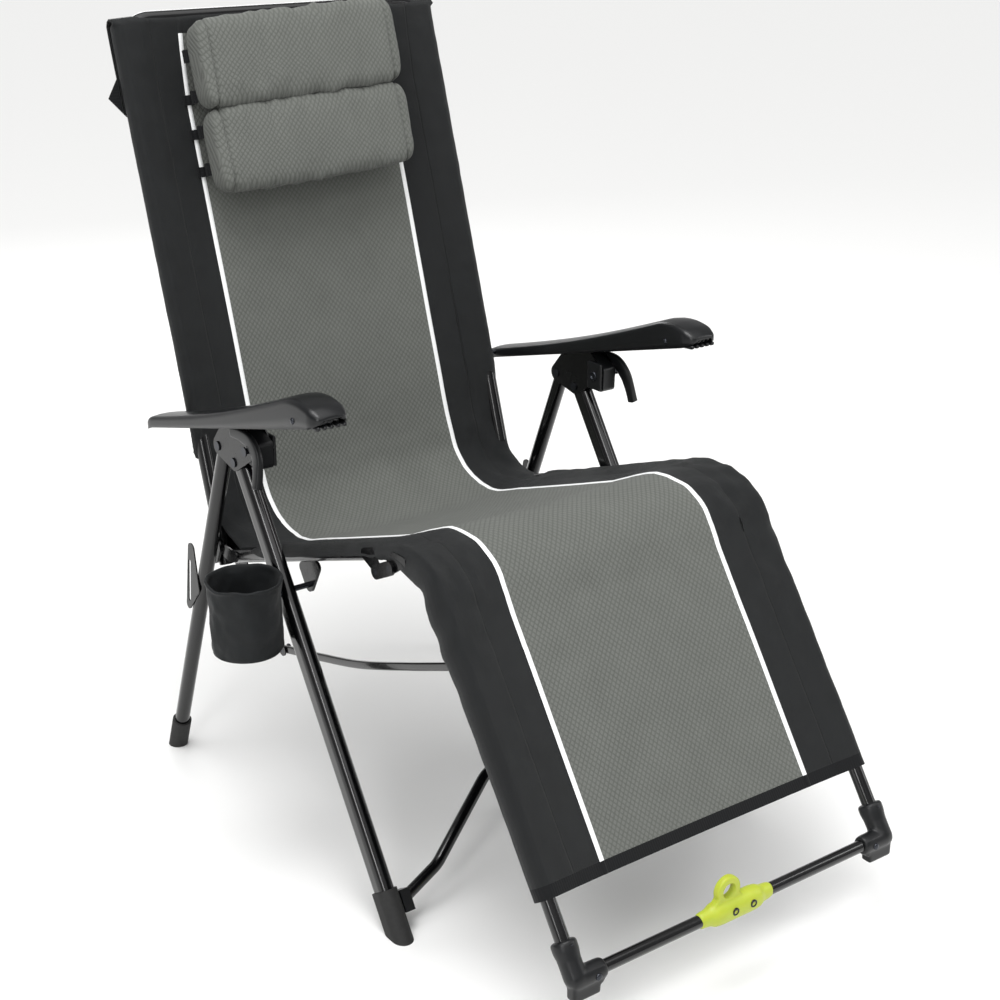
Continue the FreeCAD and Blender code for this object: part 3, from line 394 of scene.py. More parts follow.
RAIL_X = 0.257
PIVOT = Vector((0, 0.150, 0.360))
LEAN = math.radians(17.5)
HOOP_AT = 0.763
CORD_AT = 0.170
CLOTH = 0.0022


def on_back(distance):
    """A point (y, z) of the back rails' axis."""
    return (PIVOT.y + distance * math.sin(LEAN), PIVOT.z + distance * math.cos(LEAN))


def spline_through(points, step):
    """Evenly spaced points on a smooth curve through the given (y, z) points."""
    p = np.array([points[0], *points, points[-1]], float)
    dense = []
    for i in range(1, len(p) - 2):
        for t in np.linspace(0, 1, 40, endpoint=False):
            a, b, c, d = p[i - 1], p[i], p[i + 1], p[i + 2]
            dense.append(0.5 * (
                2 * b + (c - a) * t + (2 * a - 5 * b + 4 * c - d) * t * t
                + (3 * b - a - 3 * c + d) * t ** 3
            ))
    dense.append(p[-1])
    dense = np.array(dense)
    run = np.concatenate([[0], np.cumsum(np.linalg.norm(np.diff(dense, axis=0), axis=1))])
    even = np.linspace(0, run[-1], int(run[-1] / step) + 1)
    return np.stack([np.interp(even, run, dense[:, k]) for k in (0, 1)], axis=1)


# the cloth's line down the chair, between the rails' axes, and its rows' spacing
ROW_STEP = 0.008
down_back = [on_back(s) for s in (HOOP_AT, 0.70, 0.6, 0.5, 0.4, 0.3, 0.2, 0.14)]
corner = [(0.1795, 0.459), (0.169, 0.434), (0.150, 0.413), (0.125, 0.3985), (0.095, 0.391)]
along_seat = [(0.060, 0.3905), (0.0, 0.411), (-0.1, 0.446), (-0.2, 0.4815), (-0.27, 0.506)]
over_knee = [(-0.305, 0.5165), (-0.335, 0.5205), (-0.362, 0.5195), (-0.386, 0.5115)]
down_leg = [
    (-0.4065, 0.4965), (-0.430, 0.4645), (-0.47, 0.407), (-0.53, 0.3205), (-0.6218, 0.1882),
]
line = spline_through([*down_back, *corner, *along_seat, *over_knee, *down_leg], ROW_STEP)
tangent = np.gradient(line, axis=0)
tangent /= np.linalg.norm(tangent, axis=1)[:, None]
normal = np.stack([tangent[:, 1], -tangent[:, 0]], axis=1)
travelled = np.arange(len(line)) * np.linalg.norm(line[1] - line[0])


def row_at(y, z):
    return int(np.argmin(np.hypot(line[:, 0] - y, line[:, 1] - z)))


ROW_CORNER_TOP = row_at(*on_back(0.115))
ROW_CORNER_MID = row_at(0.128, 0.400)
ROW_SEAT_REAR = row_at(0.070, 0.390)
ROW_SEAT_FRONT = row_at(-0.262, 0.503)
ROW_KNEE_MID = row_at(-0.306, 0.517)
ROW_LEG_TOP = row_at(-0.345, 0.5205)
ROW_HEM = len(line) - 1


def along_rows(pairs):
    """A value for each row, from (row, value) pairs."""
    rows = [p[0] for p in pairs]
    return np.interp(np.arange(len(line)), rows, [p[1] for p in pairs])


# how far the cloth stands in front of the axis: at the middle, at the white cord
# and over the rails; and how much of the sleeve is closed round the rail
TOP = 0.0134
cord_height = along_rows([
    (0, TOP), (5, 0.004), (13, -0.006), (ROW_CORNER_TOP - 4, -0.008),
    (ROW_CORNER_MID, -0.002), (ROW_SEAT_REAR, 0.001), (ROW_SEAT_FRONT - 6, 0.002),
    (ROW_KNEE_MID, 0.012), (ROW_LEG_TOP + 3, 0.010), (ROW_LEG_TOP + 14, 0.003),
    (ROW_HEM, 0.003),
])
middle_height = along_rows([
    (0, TOP), (5, 0.001), (13, -0.012), (ROW_CORNER_TOP, -0.014),
    (ROW_CORNER_MID, -0.006), (ROW_SEAT_REAR, -0.006), (ROW_SEAT_FRONT - 6, -0.004),
    (ROW_KNEE_MID, 0.010), (ROW_LEG_TOP + 3, 0.008), (ROW_LEG_TOP + 14, -0.002),
    (ROW_HEM, -0.002),
])
rail_height = along_rows([
    (0, TOP), (ROW_CORNER_TOP - 10, TOP), (ROW_CORNER_TOP - 2, 0.004),
    (ROW_CORNER_MID, 0.002), (ROW_SEAT_REAR - 2, 0.004), (ROW_SEAT_REAR + 4, TOP),
    (ROW_SEAT_FRONT, TOP), (ROW_LEG_TOP, 0.0150), (ROW_HEM, 0.0165),
])
closed = along_rows([
    (0, 0.9), (3, 1.0), (ROW_CORNER_TOP - 9, 1.0), (ROW_CORNER_TOP - 3, 0.06),
    (ROW_SEAT_REAR - 2, 0.06), (ROW_SEAT_REAR + 8, 0.26), (ROW_SEAT_FRONT - 6, 0.26),
    (ROW_KNEE_MID, 0.3), (ROW_LEG_TOP + 2, 0.62), (ROW_LEG_TOP + 7, 1.0), (ROW_HEM, 1.0),
])
slack = along_rows([
    (0, 0.0), (8, 0.001), (ROW_CORNER_TOP, 0.002), (ROW_SEAT_FRONT, 0.001),
    (ROW_LEG_TOP, 0.010), (ROW_LEG_TOP + 12, 0.020), (ROW_HEM - 14, 0.012), (ROW_HEM, 0.010),
])

half = [
    *np.linspace(0, 0.164, 22), 0.1655, 0.1665, 0.1680, 0.1700, 0.1720, 0.1735, 0.1745,
    *np.linspace(0.182, RAIL_X, 11),
]
SLEEVE = 0.086
half += list(np.linspace(RAIL_X + 0.004, RAIL_X + SLEEVE, 16))
columns = np.array([-u for u in reversed(half[1:])] + half)


def section(row, u):
    """Where the cloth at u from its middle runs: (x, height over the axis)."""
    a = abs(u)
    top = rail_height[row]
    if a <= 0.1665:
        x = a
        h = middle_height[row] + (cord_height[row] - middle_height[row]) * (a / 0.1665) ** 2
    elif a <= 0.1735:
        x = a
        h = cord_height[row] + 0.0016 * math.sqrt(max(0, 1 - ((a - CORD_AT) / 0.0036) ** 2))
    elif a <= RAIL_X:
        t = (a - 0.1735) / (RAIL_X - 0.1735)
        x = a
        h = cord_height[row] + (top - cord_height[row]) * (t ** 1.25)
        h -= 0.0016 * math.exp(-((a - 0.2165) / 0.004) ** 2)
    else:
        length = (a - RAIL_X) * closed[row]
        arc = math.pi * TOP
        if length < arc:
            angle = length / TOP
            x = RAIL_X + TOP * math.sin(angle)
            h = top - TOP + TOP * math.cos(angle)
            loose = (1 - math.cos(angle)) / 2
        else:
            rest = length - arc
            x = RAIL_X - rest * 0.96
            h = top - 2 * TOP + rest * 0.28
            loose = max(0.0, 1 - rest / 0.04)
        h -= slack[row] * loose
    return math.copysign(x, u) if u else 0.0, h


def wrinkle(x, v, row, a):
    """Small folds: puckers along the sleeves and soft waves in the middle."""
    side = min(1.0, max(0.0, (a - 0.176) / 0.03))
    corner_pull = math.exp(-((row - ROW_CORNER_MID) / 14) ** 2)
    knee_pull = math.exp(-((row - ROW_LEG_TOP - 6) / 16) ** 2)
    n1 = noise.noise(Vector((x * 14, v * 10, 0.3)))
    n2 = noise.noise(Vector((x * 55 + v * 12, v * 34, 4.1)))
    n3 = noise.noise(Vector((x * 25 - v * 20, v * 60, 8.7)))
    amount = 0.0010 * n1 + side * (0.0011 * n2 + 0.0006 * n3)
    amount += side * (0.0042 * knee_pull + 0.0030 * corner_pull) * n2
    drape = math.exp(-((v - travelled[ROW_LEG_TOP] - 0.10) / 0.09) ** 2)
    over = min(1.0, max(0.0, (a - 0.235) / 0.03))
    amount += over * drape * 0.0125 * noise.noise(Vector((x * 9, v * 34, 6.6)))
    amount += side * drape * 0.0030 * noise.noise(Vector((x * 30, v * 40, 1.6)))
    amount += (1 - side) * (0.0012 * knee_pull + 0.0014 * corner_pull) * n3
    return amount


rows = []
# the pocket's flap behind the hoop, then round the hoop, then down the front
flap = 15
for i in range(flap):
    s = HOOP_AT - 0.118 * (1 - i / flap)
    rows.append((on_back(s), (math.cos(LEAN), -math.sin(LEAN)), "flap", 0))
for i in range(5):
    turn = math.pi * (1 - (i + 0.5) / 5)
    forward = np.array((-math.cos(LEAN), math.sin(LEAN)))
    up = np.array((math.sin(LEAN), math.cos(LEAN)))
    outward_here = tuple(forward * math.cos(turn) + up * math.sin(turn))
    rows.append((on_back(HOOP_AT), outward_here, "flap", 0))
for i in range(len(line)):
    rows.append((tuple(line[i]), tuple(normal[i]), "front", i))
FRONT = flap + 5

grid = np.zeros((len(rows), len(columns), 3))
cut_map = np.zeros((len(rows), len(columns), 2))
for r, (base, n, kind, i) in enumerate(rows):
    run = (i if kind == "front" else r - FRONT) * ROW_STEP
    for c, u in enumerate(columns):
        if kind == "flap":
            a = min(abs(u), RAIL_X + 0.0138)
            x = math.copysign(a + (0.0005 * max(0, abs(u) - RAIL_X)), u)
            h = TOP + 0.0006
            if abs(u) > RAIL_X - 0.03:
                h -= 0.0012 * (abs(u) - RAIL_X + 0.03) / 0.03
            h += 0.0012 * noise.noise(Vector((x * 20, run * 14, 2.2)))
        else:
            x, h = section(i, u)
            h += wrinkle(x, run, i, abs(u))
        grid[r, c] = (x, base[0] + n[0] * h, base[1] + n[1] * h)
        cut_map[r, c] = (u, run)

# the grid's own normals, to give the cloth its thickness
d_row = np.gradient(grid, axis=0)
d_col = np.gradient(grid, axis=1)
outward = np.cross(d_row, d_col)
outward /= np.maximum(np.linalg.norm(outward, axis=2), 1e-9)[:, :, None]
reverse_side = grid - outward * CLOTH

side_cloth_slot, jacquard_slot, cord_slot, binding_slot = 0, 1, 2, 3
HEM_ROWS = 2


def sling_panel(name, first, last, *rests):
    """The cloth from one row to another, with both faces and its rims."""
    n_rows, n_cols = last - first + 1, len(columns)
    points = np.concatenate([
        grid[first:last + 1].reshape(-1, 3), reverse_side[first:last + 1].reshape(-1, 3)
    ])
    under = n_rows * n_cols
    faces, slots = [], []

    def slot_of(r, c):
        a = abs(columns[c] + columns[c + 1]) / 2
        if first + r >= len(rows) - 1 - HEM_ROWS:
            return binding_slot
        if first + r < FRONT + 2:
            return side_cloth_slot
        if a < 0.1665:
            return jacquard_slot
        return cord_slot if a < 0.1735 else side_cloth_slot

    for r in range(n_rows - 1):
        for c in range(n_cols - 1):
            k = r * n_cols + c
            faces.append((k, k + n_cols, k + n_cols + 1, k + 1))
            slots.append(slot_of(r, c))
            faces.append((under + k, under + k + 1, under + k + n_cols + 1, under + k + n_cols))
            hemmed = slot_of(r, c) == binding_slot
            slots.append(binding_slot if hemmed else side_cloth_slot)
    for c in range(n_cols - 1):
        for r, flip in ((0, False), (n_rows - 1, True)):
            k = r * n_cols + c
            rim = (k, k + 1, under + k + 1, under + k)
            faces.append(rim[::-1] if flip else rim)
            slots.append(binding_slot)
    for r in range(n_rows - 1):
        for c, flip in ((0, True), (n_cols - 1, False)):
            k = r * n_cols + c
            rim = (k, k + n_cols, under + k + n_cols, under + k)
            faces.append(rim if flip else rim[::-1])
            slots.append(side_cloth_slot)
    panel = new_mesh_object(name, points, faces)
    for material in (side_cloth, jacquard, white_cord, binding):
        panel.data.materials.append(material)
    uv = panel.data.uv_layers.new(name="cut")
    flat = cut_map[first:last + 1].reshape(-1, 2)
    for face, slot in zip(panel.data.polygons, slots):
        face.material_index = slot
        for corner_index in face.loop_indices:
            k = panel.data.loops[corner_index].vertex_index % under
            uv.data[corner_index].uv = (flat[k][0], flat[k][1])
    facing_out = outward[first:last + 1].reshape(-1, 3)
    panel.data.normals_split_custom_set_from_vertices(
        np.concatenate([facing_out, -facing_out]).tolist()
    )
    return panel


back_panel = sling_panel(
    "back_cloth", 0, FRONT + ROW_CORNER_TOP,
    "back_top_hoop", "back_rail_left", "back_rail_right",
)
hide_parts("back_sling")
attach(back_panel, "back")
corner_upper = sling_panel(
    "corner_cloth_upper", FRONT + ROW_CORNER_TOP, FRONT + ROW_CORNER_MID,
    "back_rail_left", "back_rail_right",
)
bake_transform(corner_upper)
corner_lower = sling_panel(
    "corner_cloth_lower", FRONT + ROW_CORNER_MID, FRONT + ROW_SEAT_REAR,
    "seat_rail_left", "seat_rail_right",
)
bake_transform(corner_lower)
seat_panel = sling_panel(
    "seat_cloth", FRONT + ROW_SEAT_REAR, FRONT + ROW_SEAT_FRONT,
    "seat_rail_left", "seat_rail_right",
)
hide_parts("seat_sling")
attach(seat_panel, "seat")
knee_rear = sling_panel(
    "knee_cloth_rear", FRONT + ROW_SEAT_FRONT, FRONT + ROW_KNEE_MID,
    "seat_rail_left", "seat_rail_right",
)
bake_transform(knee_rear)
knee_front = sling_panel(
    "knee_cloth_front", FRONT + ROW_KNEE_MID, FRONT + ROW_LEG_TOP,
    "legrest_rail_left", "legrest_rail_right",
)
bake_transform(knee_front)
leg_panel = sling_panel(
    "legrest_cloth", FRONT + ROW_LEG_TOP, FRONT + ROW_HEM,
    "legrest_rail_left", "legrest_rail_right",
)
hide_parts("legrest_sling")
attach(leg_panel, "legrest")

# ------------------------------------------------------------------ the pillow
# Two boxed lobes of the same jacquard, filled with fibre and joined by a seam.
# The ends are sewn with a boxed seam, and the pillow slides on two webbing strips.

pillow_cloth = jacquard.copy()
pillow_cloth.name = "grey_pillow_jacquard"


def on_back_frame(x, s, h):
    """A point across x, up the back by s and in front of the rail axis by h."""
    y, z = on_back(s)
    return Vector((x, y - h * math.cos(LEAN), z + h * math.sin(LEAN)))


def lobe(name, low, high, depth, lift, seed):
    """A stuffed boxed roll across the back, with a seam near each end."""
    points, uvs, faces = [], [], []
    around, across_count = 64, 120
    mid, reach = (low + high) / 2, (high - low) / 2
    left, right = -0.1715, 0.160
    centre, half_width = (left + right) / 2, (right - left) / 2
    for j in range(across_count + 1):
        t = math.sin(math.pi / 2 * (-1 + 2 * j / across_count))
        bulge = 0.55 + 0.45 * (1 - abs(t) ** 26) ** 0.5
        bulge *= 1 - 0.035 * t * t
        x = centre + half_width * t
        end_seam = math.exp(-(((1 - abs(t)) * half_width - 0.017) / 0.0022) ** 2)
        for i in range(around):
            angle = 2 * math.pi * i / around
            ca, sa = math.cos(angle), math.sin(angle)
            cs = math.copysign(abs(ca) ** 0.34, ca)
            sn = math.copysign(abs(sa) ** 0.46, sa)
            pucker = 1 + 0.03 * noise.noise(Vector((t * 5, cs * 2 + seed, sn * 2)))
            folds = noise.noise(Vector((t * 11 + 0.5 * cs, cs * 1.2, sn + seed)))
            pucker += 0.10 * folds * abs(folds) - 0.075 * end_seam
            hang = 1.0 if sn > 0 else 0.7
            s = mid + reach * cs * bulge * pucker + 0.045 * x
            h = lift + depth / 2 + depth / 2 * sn * bulge * (1 + (pucker - 1) * 2.2 * hang)
            h += 0.004 * sn * (1 - cs * cs) * (1 - t * t)
            points.append(on_back_frame(x, s, max(h, 0.0142)))
            uvs.append((x, s + (h - lift - depth) * math.copysign(1, cs)))
    for j in range(across_count):
        for i in range(around):
            k = j * around + i
            n = j * around + (i + 1) % around
            faces.append((k, n, n + around, k + around))
    faces.append(tuple(range(around))[::-1])
    faces.append(tuple(range(across_count * around, (across_count + 1) * around)))
    made = new_mesh_object(name, points, faces)
    uv = made.data.uv_layers.new(name="cut")
    for loop in made.data.loops:
        uv.data[loop.index].uv = uvs[loop.vertex_index]
    made.data.materials.append(pillow_cloth)
    return made


lower_lobe = lobe("pillow_lower_lobe", 0.516, 0.640, 0.050, 0.0150, 2.0)
upper_lobe = lobe("pillow_upper_lobe", 0.636, 0.766, 0.055, 0.0150, 7.0)
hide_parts("pillow")
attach(lower_lobe, "pillow")
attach(upper_lobe, "pillow")

webbing, shader = new_finish(
    "black_polyester_webbing", "#0d0e10", 0.8, Sheen_Weight=0.05, Specular_IOR_Level=0.2,
)
place = add_node(webbing, "ShaderNodeTexCoord")
ribs = add_node(webbing, "ShaderNodeTexWave", {
    "Vector": place.outputs["Object"], "Scale": 1 / 0.002 / 6.283, "Distortion": 0.6,
}, bands_direction="Z")
add_bump(webbing, shader, ribs.outputs["Fac"], 0.5, 0.0005)
give(webbing, "pillow_webbing")


def strap_box(name, x0, x1, s0, s1, h0, h1, body):
    """A short flat strap on the back, from its limits across, up and forward."""
    points = [
        on_back_frame(x, s, h + 0.0006 * math.cos(12 * (x - x0) / (x1 - x0) - 6))
        for x in np.linspace(x0, x1, 9) for s, h in ((s0, h0), (s1, h0), (s1, h1), (s0, h1))
    ]
    faces = [
        (4 * k + i, 4 * k + (i + 1) % 4, 4 * k + 4 + (i + 1) % 4, 4 * k + 4 + i)
        for k in range(8) for i in range(4)
    ]
    faces += [(3, 2, 1, 0), (32, 33, 34, 35)]
    made = new_mesh_object(name, points, faces, smooth=False)
    made.data.materials.append(webbing)
    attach(made, body)
    return made


# loops that cross the white cord, each with a toggle at the pillow's edge
for k, s in enumerate((0.722, 0.664, 0.614, 0.560)):
    s -= 0.010
    loop = strap_box(
        f"cord_loop_{k}", -0.1785, -0.1625, s - 0.007, s + 0.007,
        -0.0070, -0.0012, "back",
    )
    if k == 0:
        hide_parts("pillow_webbing")
    strap_box(
        f"pillow_toggle_{k}", -0.1765, -0.1695, s - 0.009, s + 0.009,
        0.0160, 0.0225, "pillow",
    )

# ------------------------------------------------------------------ armrests
# Moulded polypropylene channels, open below, rounded above, with a deep nose
# that has four finger notches under it and a tail that curls down to its pivot.

arm_plastic = nylon.copy()
arm_plastic.name = "moulded_black_polypropylene"
arm_plastic.node_tree.nodes["Principled BSDF"].inputs["Roughness"].default_value = 0.28
ARM_MIDDLE = 0.3021
arm_rear_y, arm_nose_y = 0.240, -0.2500
NOSE_FROM = -0.196


def armrest(side, sign):
    """One armrest as a sweep of a U-shaped section."""
    points, faces = [], []
    stations = np.concatenate([
        arm_rear_y - 0.020 * (1 - np.cos(np.linspace(0, math.pi / 2, 8))),
        np.linspace(arm_rear_y - 0.027, NOSE_FROM, 44),
        arm_nose_y
        + (NOSE_FROM - 0.003 - arm_nose_y) * (1 - np.sin(np.linspace(0, math.pi / 2, 34))),
    ])
    across_arm = np.linspace(1, -1, 33)
    ring = 0
    for y in stations:
        t = (arm_rear_y - y) / (arm_rear_y - arm_nose_y)
        top = 0.5665 + (0.222 - y) * (0.7045 - 0.5665) / 0.427
        top = top - 0.008 * math.sin(math.pi * min(1.0, t / 0.92)) + 0.002 * t
        bottom = 0.5495 + (0.223 - y) * (0.6665 - 0.5495) / 0.443
        bottom -= 0.004 * math.exp(-((arm_rear_y - 0.006 - y) / 0.010) ** 2)
        if y < -0.180:
            top -= 0.20 * (-0.180 - y) + 3.4 * (-0.180 - y) ** 2
        rear_round = min(1.0, (arm_rear_y - y) / 0.020)
        nose_round = min(1.0, (y - arm_nose_y) / 0.020)
        shrink = min(
            math.sqrt(max(0.0, 1 - (1 - rear_round) ** 2)),
            math.sqrt(max(0.0, 1 - (1 - nose_round) ** 2)),
        )
        width = 0.0262 * (0.55 + 0.45 * shrink)
        centre = (top + bottom) / 2
        shrink = 0.18 + 0.82 * shrink
        top = centre + (top - centre) * shrink
        bottom = centre + (bottom - centre) * shrink
        solid = y < NOSE_FROM or y > arm_rear_y - 0.012
        r = min(0.0085, (top - bottom) * 0.45)
        outline = [(-width, bottom), (-width, (bottom + top - r) / 2)]
        for k in range(7):
            angle = math.pi / 2 * k / 6
            outline.append((-width + r - r * math.cos(angle), top - r + r * math.sin(angle)))
        outline += [(x, top + 0.0014 * (1 - (x / width) ** 2)) for x in (-width * 0.3, 0.0)]
        outline += [(-x, z) for x, z in reversed(outline[:-1])]
        wall = 0.003
        for share in across_arm:
            x = share * (width - wall)
            edge = min(1.0, (1 - abs(share)) / 0.12)
            if solid:
                # four finger notches under the lip of the nose
                notch = math.sin(4 * math.pi * (share + 1) / 2) ** 2
                depth = 0.0085 * min(1.0, max(0.0, (-0.228 - y) / 0.006))
                z = bottom + 0.0005 + depth * notch * edge
            else:
                z = bottom + (top - 0.0055 - bottom) * edge ** 0.5
            outline.append((x, min(z, top - 0.0015)))
        ring = len(outline)
        points += [(sign * ARM_MIDDLE + sign * x, y, z) for x, z in outline]
    count = len(stations)
    for j in range(count - 1):
        for i in range(ring):
            a, b = j * ring + i, j * ring + (i + 1) % ring
            face = (a, b, b + ring, a + ring)
            faces.append(face if sign < 0 else face[::-1])
    first, last = tuple(range(ring)), tuple(range((count - 1) * ring, count * ring))
    faces.append(first[::-1] if sign < 0 else first)
    faces.append(last if sign < 0 else last[::-1])
    made = new_mesh_object(f"armrest_shell_{side}", points, faces)
    made.data.materials.append(arm_plastic)
    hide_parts(f"armrest_{side}")
    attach(made, "armrests")
    return made


for side, sign in SIDES:
    armrest(side, sign)

# ------------------------------------------------------------------ melted mouldings
# The corner elbows and the pull tab are injection moulded with generous fillets,
# so their solids are joined and then relaxed into one skin.

def revolve(name, profile, matrix, segments=40):
    """A closed turned solid: profile is (position along Z, radius) pairs."""
    points, faces = [], []
    for z, r in profile:
        for i in range(segments):
            angle = 2 * math.pi * i / segments
            points.append(matrix @ Vector((r * math.cos(angle), r * math.sin(angle), z)))
    for j in range(len(profile) - 1):
        for i in range(segments):
            a, b = j * segments + i, j * segments + (i + 1) % segments
            faces.append((a, b, b + segments, a + segments))
    faces.append(tuple(range(segments))[::-1])
    faces.append(tuple(range((len(profile) - 1) * segments, len(profile) * segments)))
    return new_mesh_object(name, points, faces)


def block(name, corners, matrix):
    """A box from its low and high corners."""
    (x0, y0, z0), (x1, y1, z1) = corners
    points = [matrix @ Vector(p) for p in (
        (x0, y0, z0), (x1, y0, z0), (x1, y1, z0), (x0, y1, z0),
        (x0, y0, z1), (x1, y0, z1), (x1, y1, z1), (x0, y1, z1),
    )]
    faces = [(3, 2, 1, 0), (4, 5, 6, 7), (0, 1, 5, 4), (1, 2, 6, 5), (2, 3, 7, 6), (3, 0, 4, 7)]
    return new_mesh_object(name, points, faces)


def melt(name, solids, cutters, voxel, rounds):
    """Join solids into one skin, relax it, and cut the cutters out."""
    bpy.ops.object.select_all(action="DESELECT")
    for solid in solids:
        solid.select_set(True)
    bpy.context.view_layer.objects.active = solids[0]
    bpy.ops.object.join()
    made = solids[0]
    made.name = name
    remesh = made.modifiers.new("skin", "REMESH")
    remesh.mode = "VOXEL"
    remesh.voxel_size = voxel
    relax = made.modifiers.new("fillets", "CORRECTIVE_SMOOTH")
    relax.use_only_smooth = True
    relax.iterations = rounds
    relax.smooth_type = "LENGTH_WEIGHTED"
    for cutter in cutters:
        cut_out = made.modifiers.new("cut", "BOOLEAN")
        cut_out.operation = "DIFFERENCE"
        cut_out.solver = "EXACT"
        cut_out.object = cutter
    bpy.context.view_layer.update()
    graph = bpy.context.evaluated_depsgraph_get()
    mesh = bpy.data.meshes.new_from_object(made.evaluated_get(graph))
    made.modifiers.clear()
    made.data = mesh
    for face in mesh.polygons:
        face.use_smooth = True
    for cutter in cutters:
        bpy.data.objects.remove(cutter)
    return made


def facing(origin, direction, side_hint=(1, 0, 0)):
    """A matrix at origin whose Z runs along direction."""
    z = Vector(direction).normalized()
    x = Vector(side_hint)
    x = (x - z * x.dot(z)).normalized()
    y = z.cross(x)
    turn = Matrix((x, y, z)).transposed().to_4x4()
    return Matrix.Translation(Vector(origin)) @ turn


BAR = Vector((0, -0.677, 0.110))
leg_up = Vector((0, 0.571, 0.821)).normalized()

elbow_plastic = nylon.copy()
elbow_plastic.name = "moulded_charcoal_nylon"
for side, sign in SIDES:
    centre = Vector((sign * RAIL_X, BAR.y, BAR.z))
    up = facing(centre, leg_up)
    inward = facing(centre, (-sign, 0, 0), (0, 0, 1))
    at_corner = Matrix.Translation(centre)
    elbow = melt(
        f"corner_elbow_{side}",
        [
            revolve("sleeve", [
                (-0.006, 0.0125), (0.0, 0.0145), (0.024, 0.0145), (0.034, 0.0162),
                (0.044, 0.0162), (0.046, 0.0135),
            ], up),
            revolve("arm", [
                (-0.010, 0.0120), (0.0, 0.0135), (0.034, 0.0128), (0.040, 0.0118),
            ], inward),
            block("skid", (
                (-0.010, -0.010, -0.026), (0.030, 0.006, 0.002),
            ) if sign < 0 else ((-0.030, -0.010, -0.026), (0.010, 0.006, 0.002)), at_corner),
            block("web", (
                (0.0, -0.010, -0.014), (0.036, 0.004, 0.010),
            ) if sign < 0 else ((-0.036, -0.010, -0.014), (0.0, 0.004, 0.010)), at_corner),
        ],
        [], 0.0016, 14,
    )
    elbow.data.materials.append(elbow_plastic)
    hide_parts(f"legrest_corner_{side}")
    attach(elbow, "legrest")
    for k, (along, out) in enumerate(((0.040, 0.0), (0.0, 0.014))):
        spot = centre + (leg_up * along if k == 0 else Vector((-sign * 0.024, 0, 0)))
        face = facing(spot + Vector((0, -0.0125, 0.004 if k == 0 else 0)), (0, -1, 0.1))
        head = revolve(f"elbow_bolt_{side}_{k}", [
            (-0.002, 0.0045), (0.0012, 0.0045), (0.0022, 0.0036), (0.0024, 0.001),
        ], face, 24)
        head.data.materials.append(rivet_finish)
        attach(head, "legrest")

# ------------------------------------------------------------------ the pull tab
# A bright lime nylon saddle in two halves round the foot bar, held by two black
# screws, with a finger ring that grows out of its top.

lime, shader = new_finish("lime_nylon", "#a6b32c", 0.42, Subsurface_Weight=0.08)
place = add_node(lime, "ShaderNodeTexCoord")
grain = clouds(lime, place.outputs["Object"], 0.0012, 2.0)
cloud = clouds(lime, place.outputs["Object"], 0.02, 2.0)
tone = between(lime, cloud, "#a3b02c", "#b0bd38")
to_shader(lime, shader, "Base Color", tone)
add_bump(lime, shader, grain, 0.15, 0.0002)
TAB_X = -0.008
along_bar = facing((TAB_X - 0.060, BAR.y, BAR.z), (1, 0, 0), (0, 0, 1))
saddle = revolve("saddle", [
    (0.0, 0.0092), (0.004, 0.0105), (0.016, 0.0118), (0.024, 0.0155), (0.034, 0.0165),
    (0.086, 0.0165), (0.096, 0.0155), (0.104, 0.0118), (0.116, 0.0105), (0.120, 0.0092),
], along_bar)
for vertex in saddle.data.vertices:
    vertex.co.y = BAR.y + (vertex.co.y - BAR.y) * 0.86
RING = Vector((-0.022, BAR.y, 0.1385))
ring_solid = revolve(
    "ring", [(-0.0052, 0.0170), (-0.0042, 0.0192), (0.0042, 0.0192), (0.0052, 0.0170)],
    facing(RING, (0, 1, 0)),
)
neck = block(
    "neck", ((-0.034, -0.0055, -0.026), (0.034, 0.0055, -0.004)), Matrix.Translation(RING)
)
for vertex in neck.data.vertices:
    if vertex.co.z > RING.z - 0.01:
        vertex.co.x = RING.x + (vertex.co.x - RING.x) * 0.42
eye = revolve("eye", [(-0.03, 0.0105), (0.03, 0.0105)], facing(RING, (0, 1, 0)))
tab = melt("pull_tab_saddle", [saddle, ring_solid, neck], [eye], 0.0011, 12)
tab.data.materials.append(lime)
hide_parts("pull_tab")
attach(tab, "legrest")
for k, x in enumerate((TAB_X - 0.010, TAB_X + 0.020)):
    face = facing((x, BAR.y - 0.0138, BAR.z + 0.002), (0, -1, 0))
    screw = revolve(f"tab_screw_head_{k}", [
        (-0.002, 0.0052), (0.0006, 0.0052), (0.0012, 0.0044), (0.0010, 0.0030),
        (-0.0008, 0.0026), (-0.0009, 0.0005),
    ], face, 24)
    screw.data.materials.append(plate_coat)
    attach(screw, "legrest")
    if k == 0:
        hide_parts("pull_tab_screws")

# ------------------------------------------------------------------ armrest trim
# A blind rivet closes each nose on both flanks, and the finger grip under it is
# a row of ribs moulded with the arm.

def joined(name, solids, material, body):
    """Solids joined into one piece, with its material, slot and body."""
    bpy.ops.object.select_all(action="DESELECT")
    for solid in solids:
        solid.select_set(True)
    bpy.context.view_layer.objects.active = solids[0]
    if len(solids) > 1:
        bpy.ops.object.join()
    made = solids[0]
    made.name = name
    made.data.materials.clear()
    made.data.materials.append(material)
    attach(made, body)
    return made


